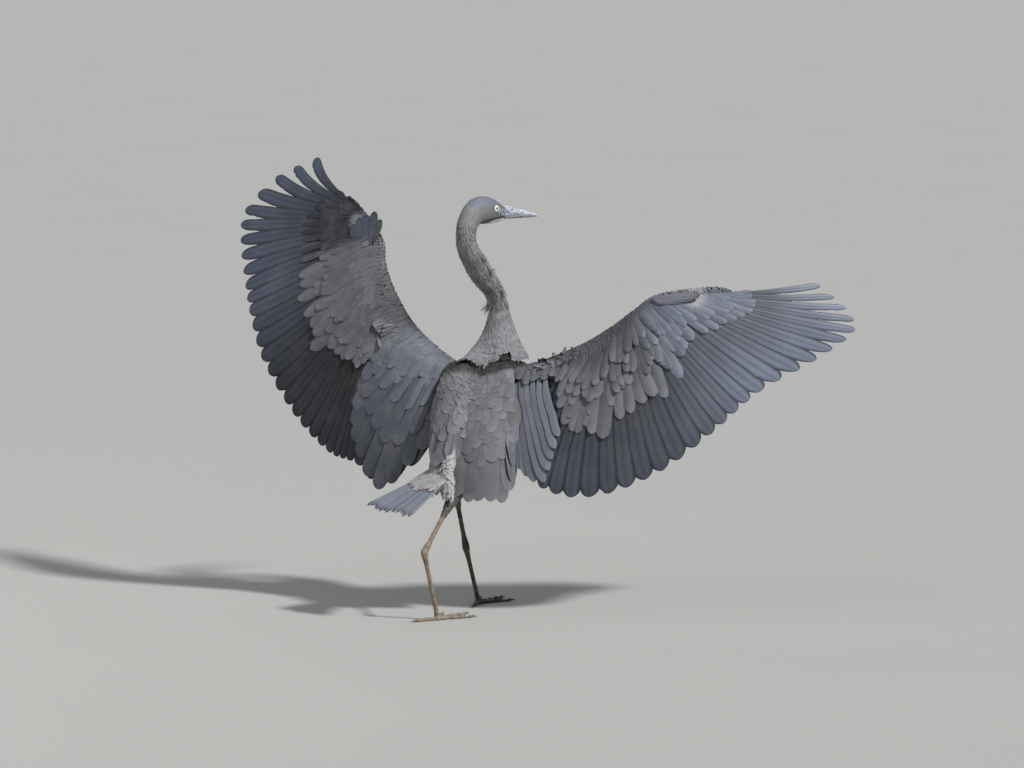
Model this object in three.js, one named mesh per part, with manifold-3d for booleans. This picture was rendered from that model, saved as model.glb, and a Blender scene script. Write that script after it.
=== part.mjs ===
// Great-billed heron, life size, standing with both wings spread: a still mount.
// Millimetres, +Z up. The bird faces +Y, its right side is +X, and its feet stand on z = 0.
import * as THREE from "three";
import Module from "manifold-3d";

const wasm = await Module();
wasm.setup();

// ---------------------------------------------------------------- dimensions

const CLEARANCE = 0.35;        // between neighbouring parts
const KEY_CUT = 0.012;         // half the parting cut between two wing parts, in feather numbers

// One line runs from the vent through trunk and neck to the bill:
// key, y, z, half width, depth towards the back, depth towards the breast.
const BODY_LINE = [
  [0.0, -84, 322, 12, 10, 10],
  [0.4, -72, 335, 28, 24, 27],
  [1.0, -32, 377, 45, 42, 46],
  [2.0, 48, 462, 62, 60, 70],
  [3.0, 124, 543, 67, 66, 76],
  [4.0, 172, 602, 70, 72, 62],
  [5.0, 194, 645, 72, 66, 50],
  [5.25, 195, 661, 60, 56, 43],
  [5.5, 192, 678, 44, 45, 37],
  [6.0, 184, 729, 27, 29, 27],
  [7.0, 163, 782, 27, 24, 27],
  [8.0, 106, 839, 29, 33, 27],
  [9.0, 55, 896, 27, 28, 26],
  [10.0, 46, 934, 26, 26, 26],
  [10.6, 54, 962, 26, 27, 29],
  [11.3, 80, 986, 26, 31, 34],
  [12.0, 112, 992, 26, 32, 37],
  [13.0, 150, 988, 22, 27, 34],
  [14.0, 184, 980.8, 15.5, 19, 24],
  [14.5, 199, 979, 12.5, 17, 18],
];
const NECK_CUTS = [4.9, 6.3, 8.4, 10.45];    // trunk | neck lower | middle | upper | head
const KEY_GAP = { 4.9: 0.0045, 6.3: 0.003, 8.4: 0.0025, 10.45: 0.004 };

const BILL = {
  base: [0, 199.7, 979],
  tip: [0, 352, 962],
  // share of the length, half width, height over the gape, depth under it
  stations: [
    [0.0, 12.3, 18.0, 17.0],
    [0.15, 11.0, 16.2, 14.6],
    [0.35, 9.4, 13.6, 11.8],
    [0.6, 7.0, 10.0, 8.4],
    [0.82, 4.4, 6.0, 5.0],
    [0.95, 2.3, 2.8, 2.3],
    [1.0, 0.8, 1.0, 0.8],
  ],
};
const EYE = { radius: 8.5, x: 16.6, y: 143, z: 992.5 };

const TAIL = {
  base: [0, -58, 352],
  direction: [-0.221, -0.886, -0.407],
  length: 200,
  rootHalfWidth: 36,
  spread: 0.24,          // radians to each side
  feathers: 12,
  arch: 2,
};

const LEGS = {
  right: { side: 1, knee: [46, 2, 374], ankle: [25, -160, 172], foot: [25, -106, 0], turn: 0.0 },
  left: { side: -1, knee: [-48, 32, 400], ankle: [-32, 88, 152], foot: [-52, 166, 0], turn: 0.06 },
};
const THIGH_END = 0.58;        // share of the shin covered by feathers
const FOOT_TOP = 13;
const TOES = [
  { name: "inner", angle: 0.5, length: 92 },
  { name: "middle", angle: -0.02, length: 112 },
  { name: "outer", angle: -0.52, length: 90 },
  { name: "hind", angle: Math.PI - 0.35, length: 62 },
];
const TOE = { radius: 5.2, tipRadius: 3.4, height: 4.2, clawLength: 15 };

// Feather numbers along a wing: tertials 0 to 4, secondaries 5 to 20, primaries 21 to 30.
const WINGS = {
  left: {
    side: -1,
    front: [
      [0, -92, 122, 612], [2, -133, 95, 649], [5, -168, 52, 704], [10, -191, 10, 785],
      [15, -222, 12, 853], [20, -231, 15, 912], [24, -285, 33, 960], [28, -347, 56, 1000],
      [30, -382, 74, 1012],
    ],
    quill: [
      [0, -90, 104, 590], [4, -207, 12, 652], [5, -232, -4, 676], [12, -243, -1, 788],
      [20, -245, 9, 904], [21, -256, 12, 920], [30, -384, 74, 1002],
    ],
    tip: [
      [0, -118, -8, 362], [2, -208, -28, 302], [4, -284, -25, 352], [8, -360, -44, 380],
      [12, -436, -86, 472], [16, -508, -123, 612], [19, -553, -115, 725], [21, -597, -76, 783],
      [24, -700, 32, 888], [26, -737, 98, 963], [28, -675, 150, 1047], [30, -565, 170, 1096],
    ],
    coverts: [[0, 0.5], [5, 0.56], [12, 0.6], [20, 0.56], [22, 0.5], [27, 0.36], [30, 0.24]],
    camber: [[0, 0.05], [10, 0.07], [20, 0.06], [30, 0.05]],
    bow: [[0, 0], [10, 0.02], [20, 0.03], [30, 0.07]],
    alula: { key: 20.9, rise: 7, tips: [[-254, 20, 990], [-282, 8, 975], [-306, -4, 946]] },
  },
  right: {
    side: 1,
    front: [
      [0, 92, 156, 606], [2, 149, 170, 623], [5, 242, 188, 662], [10, 314, 213, 708],
      [15, 373, 240, 756], [20, 417, 266, 791], [24, 478, 313, 804], [28, 530, 360, 809],
      [30, 551, 379, 804],
    ],
    quill: [
      [0, 88, 131, 586], [4, 232, 162, 603], [5, 262, 173, 616], [12, 346, 219, 695],
      [20, 414, 261, 771], [21, 428, 271, 778], [30, 550, 378, 795],
    ],
    tip: [
      [0, 129, 44, 411], [4, 173, 46, 359], [6, 220, 55, 323], [8, 286, 84, 302],
      [10, 366, 136, 312], [13, 467, 221, 368], [16, 552, 305, 455], [20, 634, 399, 557],
      [23, 724, 501, 628], [26, 787, 583, 700], [28, 763, 577, 756], [30, 711, 542, 811],
    ],
    coverts: [[0, 0.5], [5, 0.56], [12, 0.6], [20, 0.52], [22, 0.46], [27, 0.36], [30, 0.24]],
    camber: [[0, 0.03], [10, 0.08], [20, 0.07], [30, 0.05]],
    bow: [[0, 0], [10, 0.02], [20, 0.02], [30, 0.03]],
    alula: { key: 20.9, rise: 9, tips: [[498, 306, 806], [506, 306, 792], [494, 294, 772]] },
  },
};
const UPPER_STATIONS = [-0.5, 0.5, 1.5, 2.5, 3.5, 4.5];
const FOREARM_STATIONS = [4.5, 6.5, 8.5, 10.5, 12.5, 14.5, 16.5, 18.5, 20.5];
const HAND_STATIONS = [20.5, 21.5, 22.5, 23.5, 24.5, 25.5, 26.5, 27.5, 28.5, 29.5, 30.5];
// Share of the way from the front edge to the end of the coverts, height over and under it.
const ARM_SECTION = [
  [0.0, 1.5, 1.5],
  [0.12, 8.0, 7.0],
  [0.28, 11.0, 9.0],
  [0.5, 8.0, 4.5],
  [0.75, 4.5, 2.4],
  [1.0, 1.3, 1.3],
];
const ARM_THICKNESS = [[-1, 1.9], [2, 1.5], [5, 1.25], [12, 1.05], [20, 1.0], [25, 0.7], [31, 0.4]];
const BONE_SHARE = 0.28;
const VANE_HALF = 0.8;         // half the thickness of a flight feather sheet
const NOTCH = 15;              // depth of the notches between secondary tips

// The shoulder feathers that hang over the flanks: roots and tips, inner to outer.
const SCAPULARS = {
  left: {
    side: -1,
    root: [[0, -2, 52, 578], [2, -28, 54, 594], [5, -74, 66, 600]],
    tip: [[0, 6, -56, 372], [1.5, -28, -48, 366], [3, -66, -34, 386], [5, -98, -12, 428]],
    feathers: 5,
    bulge: 10,
  },
  right: {
    side: 1,
    root: [[0, 22, 48, 566], [2, 50, 74, 590], [4, 78, 96, 600], [6, 96, 108, 592]],
    tip: [[0, 48, -66, 308], [1, 88, -52, 290], [2.2, 121, -34, 285], [3.4, 143, -8, 291],
      [4.6, 155, 20, 320], [6, 150, 42, 372]],
    feathers: 6,
    bulge: 22,
  },
};

const COLOURS = {
  body: 0x4e4f53,
  neck: 0x505155,
  head: 0x4b4d53,
  covert: 0x53555b,
  flight: 0x414854,
  tail: 0x4a5160,
  thigh: 0x77746f,
  leg: 0x6d5f58,
  farLeg: 0x4a423f,
  bill: 0x8b97a2,
  lowerBill: 0x6f767c,
  eye: 0xcfc38a,
  claw: 0x3a3330,
};

// ------------------------------------------------------------------- helpers

const vec = (a) => new THREE.Vector3(a[0], a[1], a[2]);
const mix = (a, b, t) => a.clone().lerp(b, t);

// A smooth curve through rows of [key, values...], straight on beyond its ends.
function keyed(rows) {
  const keys = rows.map((row) => row[0]);
  const values = rows.map((row) => row.slice(1));
  const last = rows.length - 1;
  const slopes = values.map((_, i) => {
    const a = Math.max(i - 1, 0);
    const b = Math.min(i + 1, last);
    return values[b].map((v, k) => (v - values[a][k]) / (keys[b] - keys[a]));
  });
  return (key) => {
    if (key <= keys[0]) return values[0].map((v, k) => v + slopes[0][k] * (key - keys[0]));
    if (key >= keys[last]) return values[last].map((v, k) => v + slopes[last][k] * (key - keys[last]));
    let i = 0;
    while (key > keys[i + 1]) i += 1;
    const step = keys[i + 1] - keys[i];
    const t = (key - keys[i]) / step;
    const t2 = t * t;
    const t3 = t2 * t;
    return values[i].map((v, k) =>
      v * (2 * t3 - 3 * t2 + 1) + values[i + 1][k] * (3 * t2 - 2 * t3)
      + slopes[i][k] * step * (t3 - 2 * t2 + t) + slopes[i + 1][k] * step * (t3 - t2));
  };
}

// Turns the faces of a closed indexed mesh outwards.
function facingOut(geometry) {
  const p = geometry.attributes.position.array;
  const index = Array.from(geometry.index.array);
  const corner = (i) => new THREE.Vector3(p[3 * i], p[3 * i + 1], p[3 * i + 2]);
  let volume = 0;
  for (let f = 0; f < index.length; f += 3) {
    volume += corner(index[f]).dot(corner(index[f + 1]).cross(corner(index[f + 2])));
  }
  if (volume < 0) {
    for (let f = 0; f < index.length; f += 3) {
      [index[f + 1], index[f + 2]] = [index[f + 2], index[f + 1]];
    }
  }
  geometry.setIndex(index);
  return geometry;
}

function indexed(points, index) {
  const geometry = new THREE.BufferGeometry();
  const flat = points.flatMap((p) => [p.x, p.y, p.z]);
  geometry.setAttribute("position", new THREE.BufferAttribute(new Float32Array(flat), 3));
  geometry.setIndex(index);
  return facingOut(geometry);
}

// A closed tube through rings of equal point count, each end closed by strips across the ring.
function loft(rings) {
  const n = rings[0].length;
  const points = rings.flat();
  const index = [];
  for (let r = 0; r + 1 < rings.length; r += 1) {
    for (let k = 0; k < n; k += 1) {
      const a = r * n + k;
      const b = r * n + ((k + 1) % n);
      index.push(a, b, b + n, a, b + n, a + n);
    }
  }
  for (let k = 0; k + 1 <= n - 2 - k; k += 1) {
    const [a, b, c, d] = [k, k + 1, n - 2 - k, n - 1 - k];
    const faces = b === c ? [a, b, d] : [a, b, c, a, c, d];
    const top = (rings.length - 1) * n;
    index.push(...faces.toReversed(), ...faces.map((i) => i + top));
  }
  return indexed(points, index);
}

// A closed plate: middles[column][row], the way out of its upper face, and half its thickness.
function plate(middles, normals, halves) {
  const columns = middles.length;
  const rows = middles[0].length;
  const points = [];
  for (const face of [1, -1]) {
    for (let c = 0; c < columns; c += 1) {
      for (let r = 0; r < rows; r += 1) {
        points.push(middles[c][r].clone().addScaledVector(normals[c][r], face * halves[c][r]));
      }
    }
  }
  const under = columns * rows;
  const at = (c, r) => c * rows + r;
  const index = [];
  for (let c = 0; c + 1 < columns; c += 1) {
    for (let r = 0; r + 1 < rows; r += 1) {
      const [a, b, d, e] = [at(c, r), at(c + 1, r), at(c + 1, r + 1), at(c, r + 1)];
      index.push(a, b, d, a, d, e);
      index.push(a + under, d + under, b + under, a + under, e + under, d + under);
    }
  }
  const border = [];
  for (let c = 0; c + 1 < columns; c += 1) border.push(at(c, 0));
  for (let r = 0; r + 1 < rows; r += 1) border.push(at(columns - 1, r));
  for (let c = columns - 1; c > 0; c -= 1) border.push(at(c, rows - 1));
  for (let r = rows - 1; r > 0; r -= 1) border.push(at(0, r));
  border.forEach((a, i) => {
    const b = border[(i + 1) % border.length];
    index.push(a, a + under, b + under, a, b + under, b);
  });
  return indexed(points, index);
}

function solid(geometry) {
  return new wasm.Manifold(new wasm.Mesh({
    numProp: 3,
    vertProperties: geometry.attributes.position.array,
    triVerts: new Uint32Array(geometry.index.array),
  }));
}

// Takes the cutters off a shape and keeps its largest remaining body.
function trimmed(geometry, ...cutters) {
  let body = solid(geometry);
  for (const cutter of cutters) body = body.subtract(solid(cutter));
  const bodies = body.decompose().sort((a, b) => b.volume() - a.volume());
  return fromSolid(bodies[0]);
}

function fromSolid(body) {
  const mesh = body.getMesh();
  const geometry = new THREE.BufferGeometry();
  const flat = new Float32Array(mesh.numVert * 3);
  for (let i = 0; i < mesh.numVert; i += 1) {
    flat.set(mesh.vertProperties.subarray(i * mesh.numProp, i * mesh.numProp + 3), i * 3);
  }
  geometry.setAttribute("position", new THREE.BufferAttribute(flat, 3));
  geometry.setIndex(Array.from(mesh.triVerts));
  return geometry;
}

const heron = new THREE.Group();
const bird = new THREE.Group();
heron.add(bird);

function addPart(name, geometry, colour, roughness = 0.85) {
  const drawn = geometry.toNonIndexed();
  drawn.computeVertexNormals();
  const material = new THREE.MeshStandardMaterial({ color: colour, roughness, metalness: 0 });
  const mesh = new THREE.Mesh(drawn, material);
  mesh.name = name;
  bird.add(mesh);
  return geometry;
}

// --------------------------------------------------------- trunk, neck, head

const bodyLine = keyed(BODY_LINE);

// An egg-shaped ring across the body line; grow widens it all round.
function bodyRing(key, grow = 0, count = 14) {
  const [y, z, halfWidth, back, breast] = bodyLine(key);
  const before = bodyLine(key - 0.05);
  const after = bodyLine(key + 0.05);
  const along = new THREE.Vector3(0, after[0] - before[0], after[1] - before[1]).normalize();
  const up = new THREE.Vector3(0, -along.z, along.y);
  return Array.from({ length: count }, (_, k) => {
    const angle = (k / count) * 2 * Math.PI;
    const depth = Math.sin(angle) > 0 ? back : breast;
    return new THREE.Vector3(Math.cos(angle) * (halfWidth + grow), y, z)
      .addScaledVector(up, Math.sin(angle) * (depth + grow));
  });
}

function bodyLength(from, to, steps, grow = 0) {
  const rings = [];
  for (let i = 0; i <= steps; i += 1) rings.push(bodyRing(from + ((to - from) * i) / steps, grow));
  return loft(rings);
}

const cutBefore = (key) => key - KEY_GAP[key];
const cutAfter = (key) => key + KEY_GAP[key];

function buildTrunkAndNeck() {
  const [low, middle, high, head] = NECK_CUTS;
  addPart("trunk", bodyLength(0, cutBefore(low), 12), COLOURS.body);
  addPart("neck_lower", bodyLength(cutAfter(low), cutBefore(middle), 6), COLOURS.neck);
  addPart("neck_middle", bodyLength(cutAfter(middle), cutBefore(high), 7), COLOURS.neck);
  addPart("neck_upper", bodyLength(cutAfter(high), cutBefore(head), 6), COLOURS.neck);
}

function buildHead() {
  const head = bodyLength(cutAfter(NECK_CUTS[3]), 14.5, 12);
  const eyes = { left: -1, right: 1 };
  const sockets = [];
  for (const [name, side] of Object.entries(eyes)) {
    const place = (geometry) => geometry.translate(side * EYE.x, EYE.y, EYE.z);
    sockets.push(place(ball(EYE.radius + CLEARANCE)));
    addPart("eye_" + name, place(ball(EYE.radius)), COLOURS.eye, 0.2);
  }
  addPart("head", trimmed(head, ...sockets), COLOURS.head);
}

// A closed ball of rings with a pole on the x axis at each end.
function ball(radius) {
  const rings = [];
  for (let i = 0; i <= 6; i += 1) {
    const polar = 0.25 + ((Math.PI - 0.5) * i) / 6;
    rings.push(Array.from({ length: 10 }, (_, k) => {
      const turn = (k / 10) * 2 * Math.PI;
      const r = radius * Math.sin(polar);
      return new THREE.Vector3(radius * Math.cos(polar), r * Math.cos(turn), r * Math.sin(turn));
    }));
  }
  return loft(rings);
}

// Half a bill: a D-shaped section over (face 1) or under (face -1) the gape.
function mandible(face) {
  const base = vec(BILL.base);
  const tip = vec(BILL.tip);
  const along = tip.clone().sub(base);
  const up = new THREE.Vector3(0, -along.z, along.y).normalize();
  const rings = BILL.stations.map(([share, halfWidth, over, under]) => {
    const reach = face > 0 ? share : share * 0.975;
    const height = face > 0 ? over : under;
    const middle = base.clone().addScaledVector(along, reach).addScaledVector(up, face * CLEARANCE / 2);
    return Array.from({ length: 9 }, (_, k) => {
      const angle = (k / 8) * Math.PI;
      return middle.clone()
        .addScaledVector(new THREE.Vector3(1, 0, 0), Math.cos(angle) * halfWidth)
        .addScaledVector(up, face * Math.sin(angle) * height);
    });
  });
  return loft(rings);
}

function buildBill() {
  addPart("bill_upper", mandible(1), COLOURS.bill, 0.45);
  addPart("bill_lower", mandible(-1), COLOURS.lowerBill, 0.45);
}

// ---------------------------------------------------------------------- tail

function buildTail(trunkGrown) {
  const base = vec(TAIL.base);
  const along = vec(TAIL.direction).normalize();
  const across = new THREE.Vector3(1, 0, 0).addScaledVector(along, -along.x).normalize();
  const up = along.clone().cross(across).normalize();
  const middles = [];
  const normals = [];
  const halves = [];
  const count = TAIL.feathers * 2;
  const rows = [0, 0.25, 0.55, 1];
  for (let c = 0; c <= count; c += 1) {
    const side = (2 * c) / count - 1;
    const reach = TAIL.length * (1 - 0.02 * side * side) - (c % 2 === 0 ? 8 : 0);
    const turn = side * TAIL.spread;
    const ray = along.clone().multiplyScalar(Math.cos(turn)).addScaledVector(across, Math.sin(turn));
    middles.push(rows.map((row) => base.clone()
      .addScaledVector(across, side * TAIL.rootHalfWidth)
      .addScaledVector(ray, reach * row)
      .addScaledVector(up, -TAIL.arch * side * side * (0.4 + 0.6 * row))));
    normals.push(rows.map(() => up));
    halves.push(rows.map((row) =>
      0.8 + 17 * Math.max(0, 1 - row / 0.5) * Math.sqrt(1 - 0.85 * side * side)));
  }
  addPart("tail", trimmed(plate(middles, normals, halves), trunkGrown), COLOURS.tail);
}

// ---------------------------------------------------------------------- legs

// A round tube along straight joints, with stations of [share of the way, radius].
function limb(from, to, stations, count = 10) {
  const along = to.clone().sub(from);
  const across = new THREE.Vector3(1, 0, 0);
  const front = along.clone().normalize().cross(across).normalize();
  const side = front.clone().cross(along).normalize();
  return loft(stations.map(([share, radius, depth = radius]) =>
    Array.from({ length: count }, (_, k) => {
      const angle = (k / count) * 2 * Math.PI;
      return from.clone().addScaledVector(along, share)
        .addScaledVector(side, Math.cos(angle) * radius)
        .addScaledVector(front, Math.sin(angle) * depth);
    })));
}

// A toe lies on the floor: its rings are round above and cut flat at z = 0.
function toeTube(start, heading, from, to, radiusAt, grow = 0) {
  const aside = new THREE.Vector3(heading.y, -heading.x, 0);
  const rings = [];
  const steps = 4;
  for (let i = 0; i <= steps; i += 1) {
    const reach = from + ((to - from) * i) / steps;
    const radius = radiusAt(reach) + grow;
    rings.push(Array.from({ length: 6 }, (_, k) => {
      const angle = ((k + 0.5) / 6) * 2 * Math.PI;
      const p = start.clone().addScaledVector(heading, reach)
        .addScaledVector(aside, Math.cos(angle) * radius);
      p.z = Math.max(0, Math.min(TOE.height, radius) + Math.sin(angle) * radius);
      return p;
    }));
  }
  return loft(rings);
}

function buildFoot(name, leg) {
  const foot = vec(leg.foot);
  const hub = loft([[0, 9.5], [5, 10], [9, 9], [FOOT_TOP, 7.2]].map(([z, r]) =>
    Array.from({ length: 10 }, (_, k) => {
      const angle = (k / 10) * 2 * Math.PI;
      return new THREE.Vector3(foot.x + Math.cos(angle) * r, foot.y + Math.sin(angle) * r, z);
    })));
  let joined = solid(hub);
  for (const toe of TOES) {
    const turn = Math.PI / 2 + leg.side * toe.angle + leg.turn;
    const heading = new THREE.Vector3(Math.cos(turn), Math.sin(turn), 0);
    const radiusAt = (reach) => THREE.MathUtils.lerp(TOE.radius, TOE.tipRadius, reach / toe.length)
      + 0.5 * Math.cos((reach / toe.length) * 5 * Math.PI);
    joined = joined.add(solid(toeTube(foot, heading, 0, toe.length, radiusAt)));
    const claw = loft([[0.4, 2.5, 3.2], [4, 2.1, 3.3], [9, 1.3, 2.5], [TOE.clawLength, 0.45, 0.7]]
      .map(([reach, radius, height]) => Array.from({ length: 6 }, (_, k) => {
        const angle = (k / 6) * 2 * Math.PI;
        const aside = new THREE.Vector3(heading.y, -heading.x, 0);
        const p = foot.clone().addScaledVector(heading, toe.length + reach)
          .addScaledVector(aside, Math.cos(angle) * radius);
        p.z = height + 0.15 + Math.sin(angle) * radius;
        return p;
      })));
    addPart("claw_" + name + "_" + toe.name, claw, COLOURS.claw, 0.5);
  }
  addPart("foot_" + name, fromSolid(joined), leg.side > 0 ? COLOURS.leg : COLOURS.farLeg, 0.75);
  return hub;
}

function buildLeg(name, leg, trunkGrown) {
  const knee = vec(leg.knee);
  const ankle = vec(leg.ankle);
  const foot = vec(leg.foot);
  foot.z = 6;
  const colour = leg.side > 0 ? COLOURS.leg : COLOURS.farLeg;
  const thigh = (grow) => limb(knee, ankle, [
    [-0.08, 14, 18], [0.02, 26, 36], [0.14, 27, 38], [0.28, 21, 27], [0.42, 14, 17], [0.52, 9.5, 11],
    [THIGH_END, 7.6, 8.2],
  ].map(([share, radius, depth]) => [share, radius + grow, depth + grow]));
  addPart("thigh_" + name, trimmed(thigh(0), trunkGrown), COLOURS.thigh);
  const bare = ankle.distanceTo(knee);
  addPart("shank_" + name, limb(knee, ankle, [
    [THIGH_END + CLEARANCE / bare, 6.2], [0.7, 5.4], [0.86, 5.6], [0.95, 7.6], [1 - 4 / bare, 8.6, 9.2],
  ]), colour, 0.75);
  const shin = foot.distanceTo(ankle);
  const shank = limb(knee, ankle, [
    [0.5, 6.2 + CLEARANCE], [0.86, 5.6 + CLEARANCE], [0.95, 7.6 + CLEARANCE],
    [1 - (4 - CLEARANCE) / bare, 8.6 + CLEARANCE, 9.2 + CLEARANCE],
  ]);
  const hub = buildFoot(name, leg);
  const hubGrown = hub.clone();
  hubGrown.translate(-foot.x, -foot.y, 0).scale(1.06, 1.06, 1.03).translate(foot.x, foot.y, 0);
  const tarsus = limb(ankle, foot, [
    [-4 / shin, 6.5, 7], [0, 8.8, 9.4], [8 / shin, 7.6, 8.6], [0.2, 5.2, 6], [0.5, 4.8, 5.6],
    [0.85, 5.2, 5.8], [0.98, 6.4, 6.4],
  ]);
  addPart("tarsus_" + name, trimmed(tarsus, shank, hubGrown), colour, 0.75);
  return thigh(CLEARANCE);
}

// --------------------------------------------------------------------- wings

// The sheet that a wing's feathers lie in, read by feather number and share of the way to the tip.
function wingSheet(wing) {
  const front = keyed(wing.front);
  const quill = keyed(wing.quill);
  const tip = keyed(wing.tip);
  const coverts = keyed(wing.coverts);
  const camber = keyed(wing.camber);
  const bow = keyed(wing.bow);
  const thickness = keyed(ARM_THICKNESS);

  const frame = (key) => {
    const root = vec(quill(key));
    const run = vec(tip(key)).sub(root);
    const along = vec(quill(key + 0.5)).sub(vec(quill(key - 0.5)))
      .add(vec(tip(key + 0.5))).sub(vec(tip(key - 0.5)));
    const up = run.clone().cross(along).multiplyScalar(wing.side).normalize();
    const out = up.clone().cross(run).multiplyScalar(-wing.side).normalize();
    return { root, run, up, out, length: run.length() };
  };
  const point = (key, share, f = frame(key)) => {
    const arch = 4 * share * (1 - share) * f.length;
    return f.root.clone().addScaledVector(f.run, share)
      .addScaledVector(f.up, arch * camber(key)[0])
      .addScaledVector(f.out, arch * bow(key)[0]);
  };
  const edgeShare = (key) => coverts(key)[0];

  // The closed section of the fleshy arm and its coverts at one feather number.
  const section = (key, grow = 0) => {
    const f = frame(key);
    const edge = edgeShare(key);
    const scale = thickness(key)[0];
    const lead = vec(front(key));
    const middle = (s) => (s < BONE_SHARE
      ? mix(lead, f.root, s / BONE_SHARE)
      : point(key, ((s - BONE_SHARE) / (1 - BONE_SHARE)) * edge, f));
    const upper = ARM_SECTION.map(([s, over]) =>
      middle(s).addScaledVector(f.up, (s > 0 && s < 1 ? over * scale : over) + grow));
    const lower = ARM_SECTION.map(([s, , under]) =>
      middle(s).addScaledVector(f.up, -(s > 0 && s < 1 ? under * scale : under) - grow));
    return [...upper, ...lower.reverse()];
  };

  // Where the flight feathers leave the coverts: straight between the arm's own stations.
  const stations = [...UPPER_STATIONS, ...FOREARM_STATIONS.slice(1), ...HAND_STATIONS.slice(1)];
  const edge = (key) => {
    let i = 0;
    while (i < stations.length - 2 && key > stations[i + 1]) i += 1;
    const t = (key - stations[i]) / (stations[i + 1] - stations[i]);
    const from = frame(stations[i]);
    const to = frame(stations[i + 1]);
    const a = point(stations[i], edgeShare(stations[i]), from);
    const b = point(stations[i + 1], edgeShare(stations[i + 1]), to);
    return { middle: mix(a, b, t), up: mix(from.up, to.up, t) };
  };
  return { frame, point, edgeShare, section, edge };
}

// A length of the arm between parting cuts; grow makes it a cutter that keeps the clearance.
function armPart(sheet, stations, grow = 0) {
  const last = stations.length - 1;
  const cut = grow > 0 ? -0.9 * KEY_CUT : KEY_CUT;
  return loft(stations.map((key, i) => {
    const moved = i === 0 ? key + cut : i === last ? key - cut : key;
    return sheet.section(moved, grow);
  }));
}

// A vane sheet column at one feather number, from the coverts' edge to a share of the length.
function vaneColumn(sheet, key, shares) {
  const f = sheet.frame(key);
  const start = sheet.edge(key);
  const first = sheet.edgeShare(key);
  const points = shares.map((share) => {
    if (share === 0) return start.middle.clone().addScaledVector(f.run, (CLEARANCE + 0.15) / f.length);
    return sheet.point(key, first + (1 - first) * share, f);
  });
  const ups = shares.map((share) => (share === 0 ? start.up : f.up));
  return { points, ups, length: f.length * (1 - first) };
}

// The tertials and secondaries, one overlapping sheet with a scalloped edge.
function secondaries(sheet, grow = 0) {
  const middles = [];
  const normals = [];
  const halves = [];
  for (let feather = 0; feather <= 20; feather += 1) {
    const offsets = feather === 20 ? [-0.5, -0.25, 0.15, 0.5 - 2 * KEY_CUT] : [-0.5, -0.25, 0.15];
    for (const offset of offsets) {
      const key = feather + offset + (feather === 0 && offset < -0.4 ? KEY_CUT : 0);
      const inset = Math.abs(offset) > 0.4 ? NOTCH : Math.abs(offset) > 0.2 ? 0.15 * NOTCH : 0;
      const plain = vaneColumn(sheet, key, [0]);
      const end = 1 - inset / plain.length;
      const column = vaneColumn(sheet, key, [0, end * 0.5, end]);
      middles.push(column.points);
      normals.push(column.ups);
      halves.push([1.3, 1.0, 0.6].map((h) => h + grow));
    }
  }
  return plate(middles, normals, halves);
}

// One primary: a ribbon that narrows to a rounded tip, slimmer from its middle on the outer ones.
function primary(sheet, feather) {
  const full = 0.5 - KEY_CUT;
  const fingered = feather >= 26;
  const rows = [0, 0.35, 0.7, 0.87, 0.96, 1];
  const widths = rows.map((row) => {
    const slim = fingered && row > 0.4 ? 0.88 : 1;
    const round = row > 0.8 ? Math.sqrt(Math.max(0, 1 - ((row - 0.8) / 0.2) ** 2)) : 1;
    return full * slim * Math.max(0.25, round);
  });
  const middles = [];
  const normals = [];
  const halves = [];
  for (const side of [-1, 0, 1]) {
    const points = [];
    const ups = [];
    rows.forEach((row, r) => {
      const key = feather + side * widths[r];
      const column = vaneColumn(sheet, key, [row]);
      points.push(column.points[0]);
      ups.push(column.ups[0]);
    });
    middles.push(points);
    normals.push(ups);
    halves.push(rows.map((row) => (side === 0 ? 1.5 - 0.7 * row : VANE_HALF - 0.2 * row)));
  }
  return plate(middles, normals, halves);
}

// The small feathers of the thumb, a short plate raised off the wrist.
function alula(sheet, wing, handGrown) {
  const f = sheet.frame(wing.alula.key);
  const root = sheet.section(wing.alula.key)[1].clone().addScaledVector(f.up, wing.alula.rise);
  const tips = wing.alula.tips.map(vec);
  const spread = tips[2].clone().sub(tips[0]).normalize();
  const middles = tips.map((tip, i) => {
    const start = root.clone().addScaledVector(spread, (i - 1) * 9);
    return [0, 0.35, 0.75, 1].map((share) => mix(start, tip, share)
      .addScaledVector(f.up, 5 * share * (1 - share) * 4 * 0.5));
  });
  const columns = [];
  middles.forEach((column, i) => {
    columns.push(column);
    if (i < 2) {
      const between = column.map((p, r) => mix(p, middles[i + 1][r], 0.5));
      between[3] = mix(between[3], between[2], 0.3);
      columns.push(between);
    }
  });
  const normals = columns.map((column) => column.map(() => f.up));
  const halves = columns.map(() => [2.2, 1.8, 1.2, 0.7]);
  return trimmed(plate(columns, normals, halves), handGrown);
}

function buildWing(name, wing, trunkGrown) {
  const sheet = wingSheet(wing);
  const upperArm = trimmed(armPart(sheet, UPPER_STATIONS), trunkGrown);
  addPart("upper_arm_" + name, upperArm, COLOURS.covert);
  addPart("forearm_" + name, armPart(sheet, FOREARM_STATIONS), COLOURS.covert);
  const forearmGrown = armPart(sheet, FOREARM_STATIONS, CLEARANCE);
  const hand = trimmed(armPart(sheet, HAND_STATIONS), forearmGrown);
  addPart("hand_" + name, hand, COLOURS.covert);
  addPart("secondaries_" + name, trimmed(secondaries(sheet), trunkGrown), COLOURS.flight);
  for (let feather = 21; feather <= 30; feather += 1) {
    addPart("primary_" + name + "_" + (feather - 20), primary(sheet, feather), COLOURS.flight);
  }
  const handGrown = armPart(sheet, HAND_STATIONS, CLEARANCE);
  addPart("alula_" + name, alula(sheet, wing, handGrown), COLOURS.flight);
  return [armPart(sheet, UPPER_STATIONS, CLEARANCE), forearmGrown, secondaries(sheet, CLEARANCE)];
}

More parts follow.
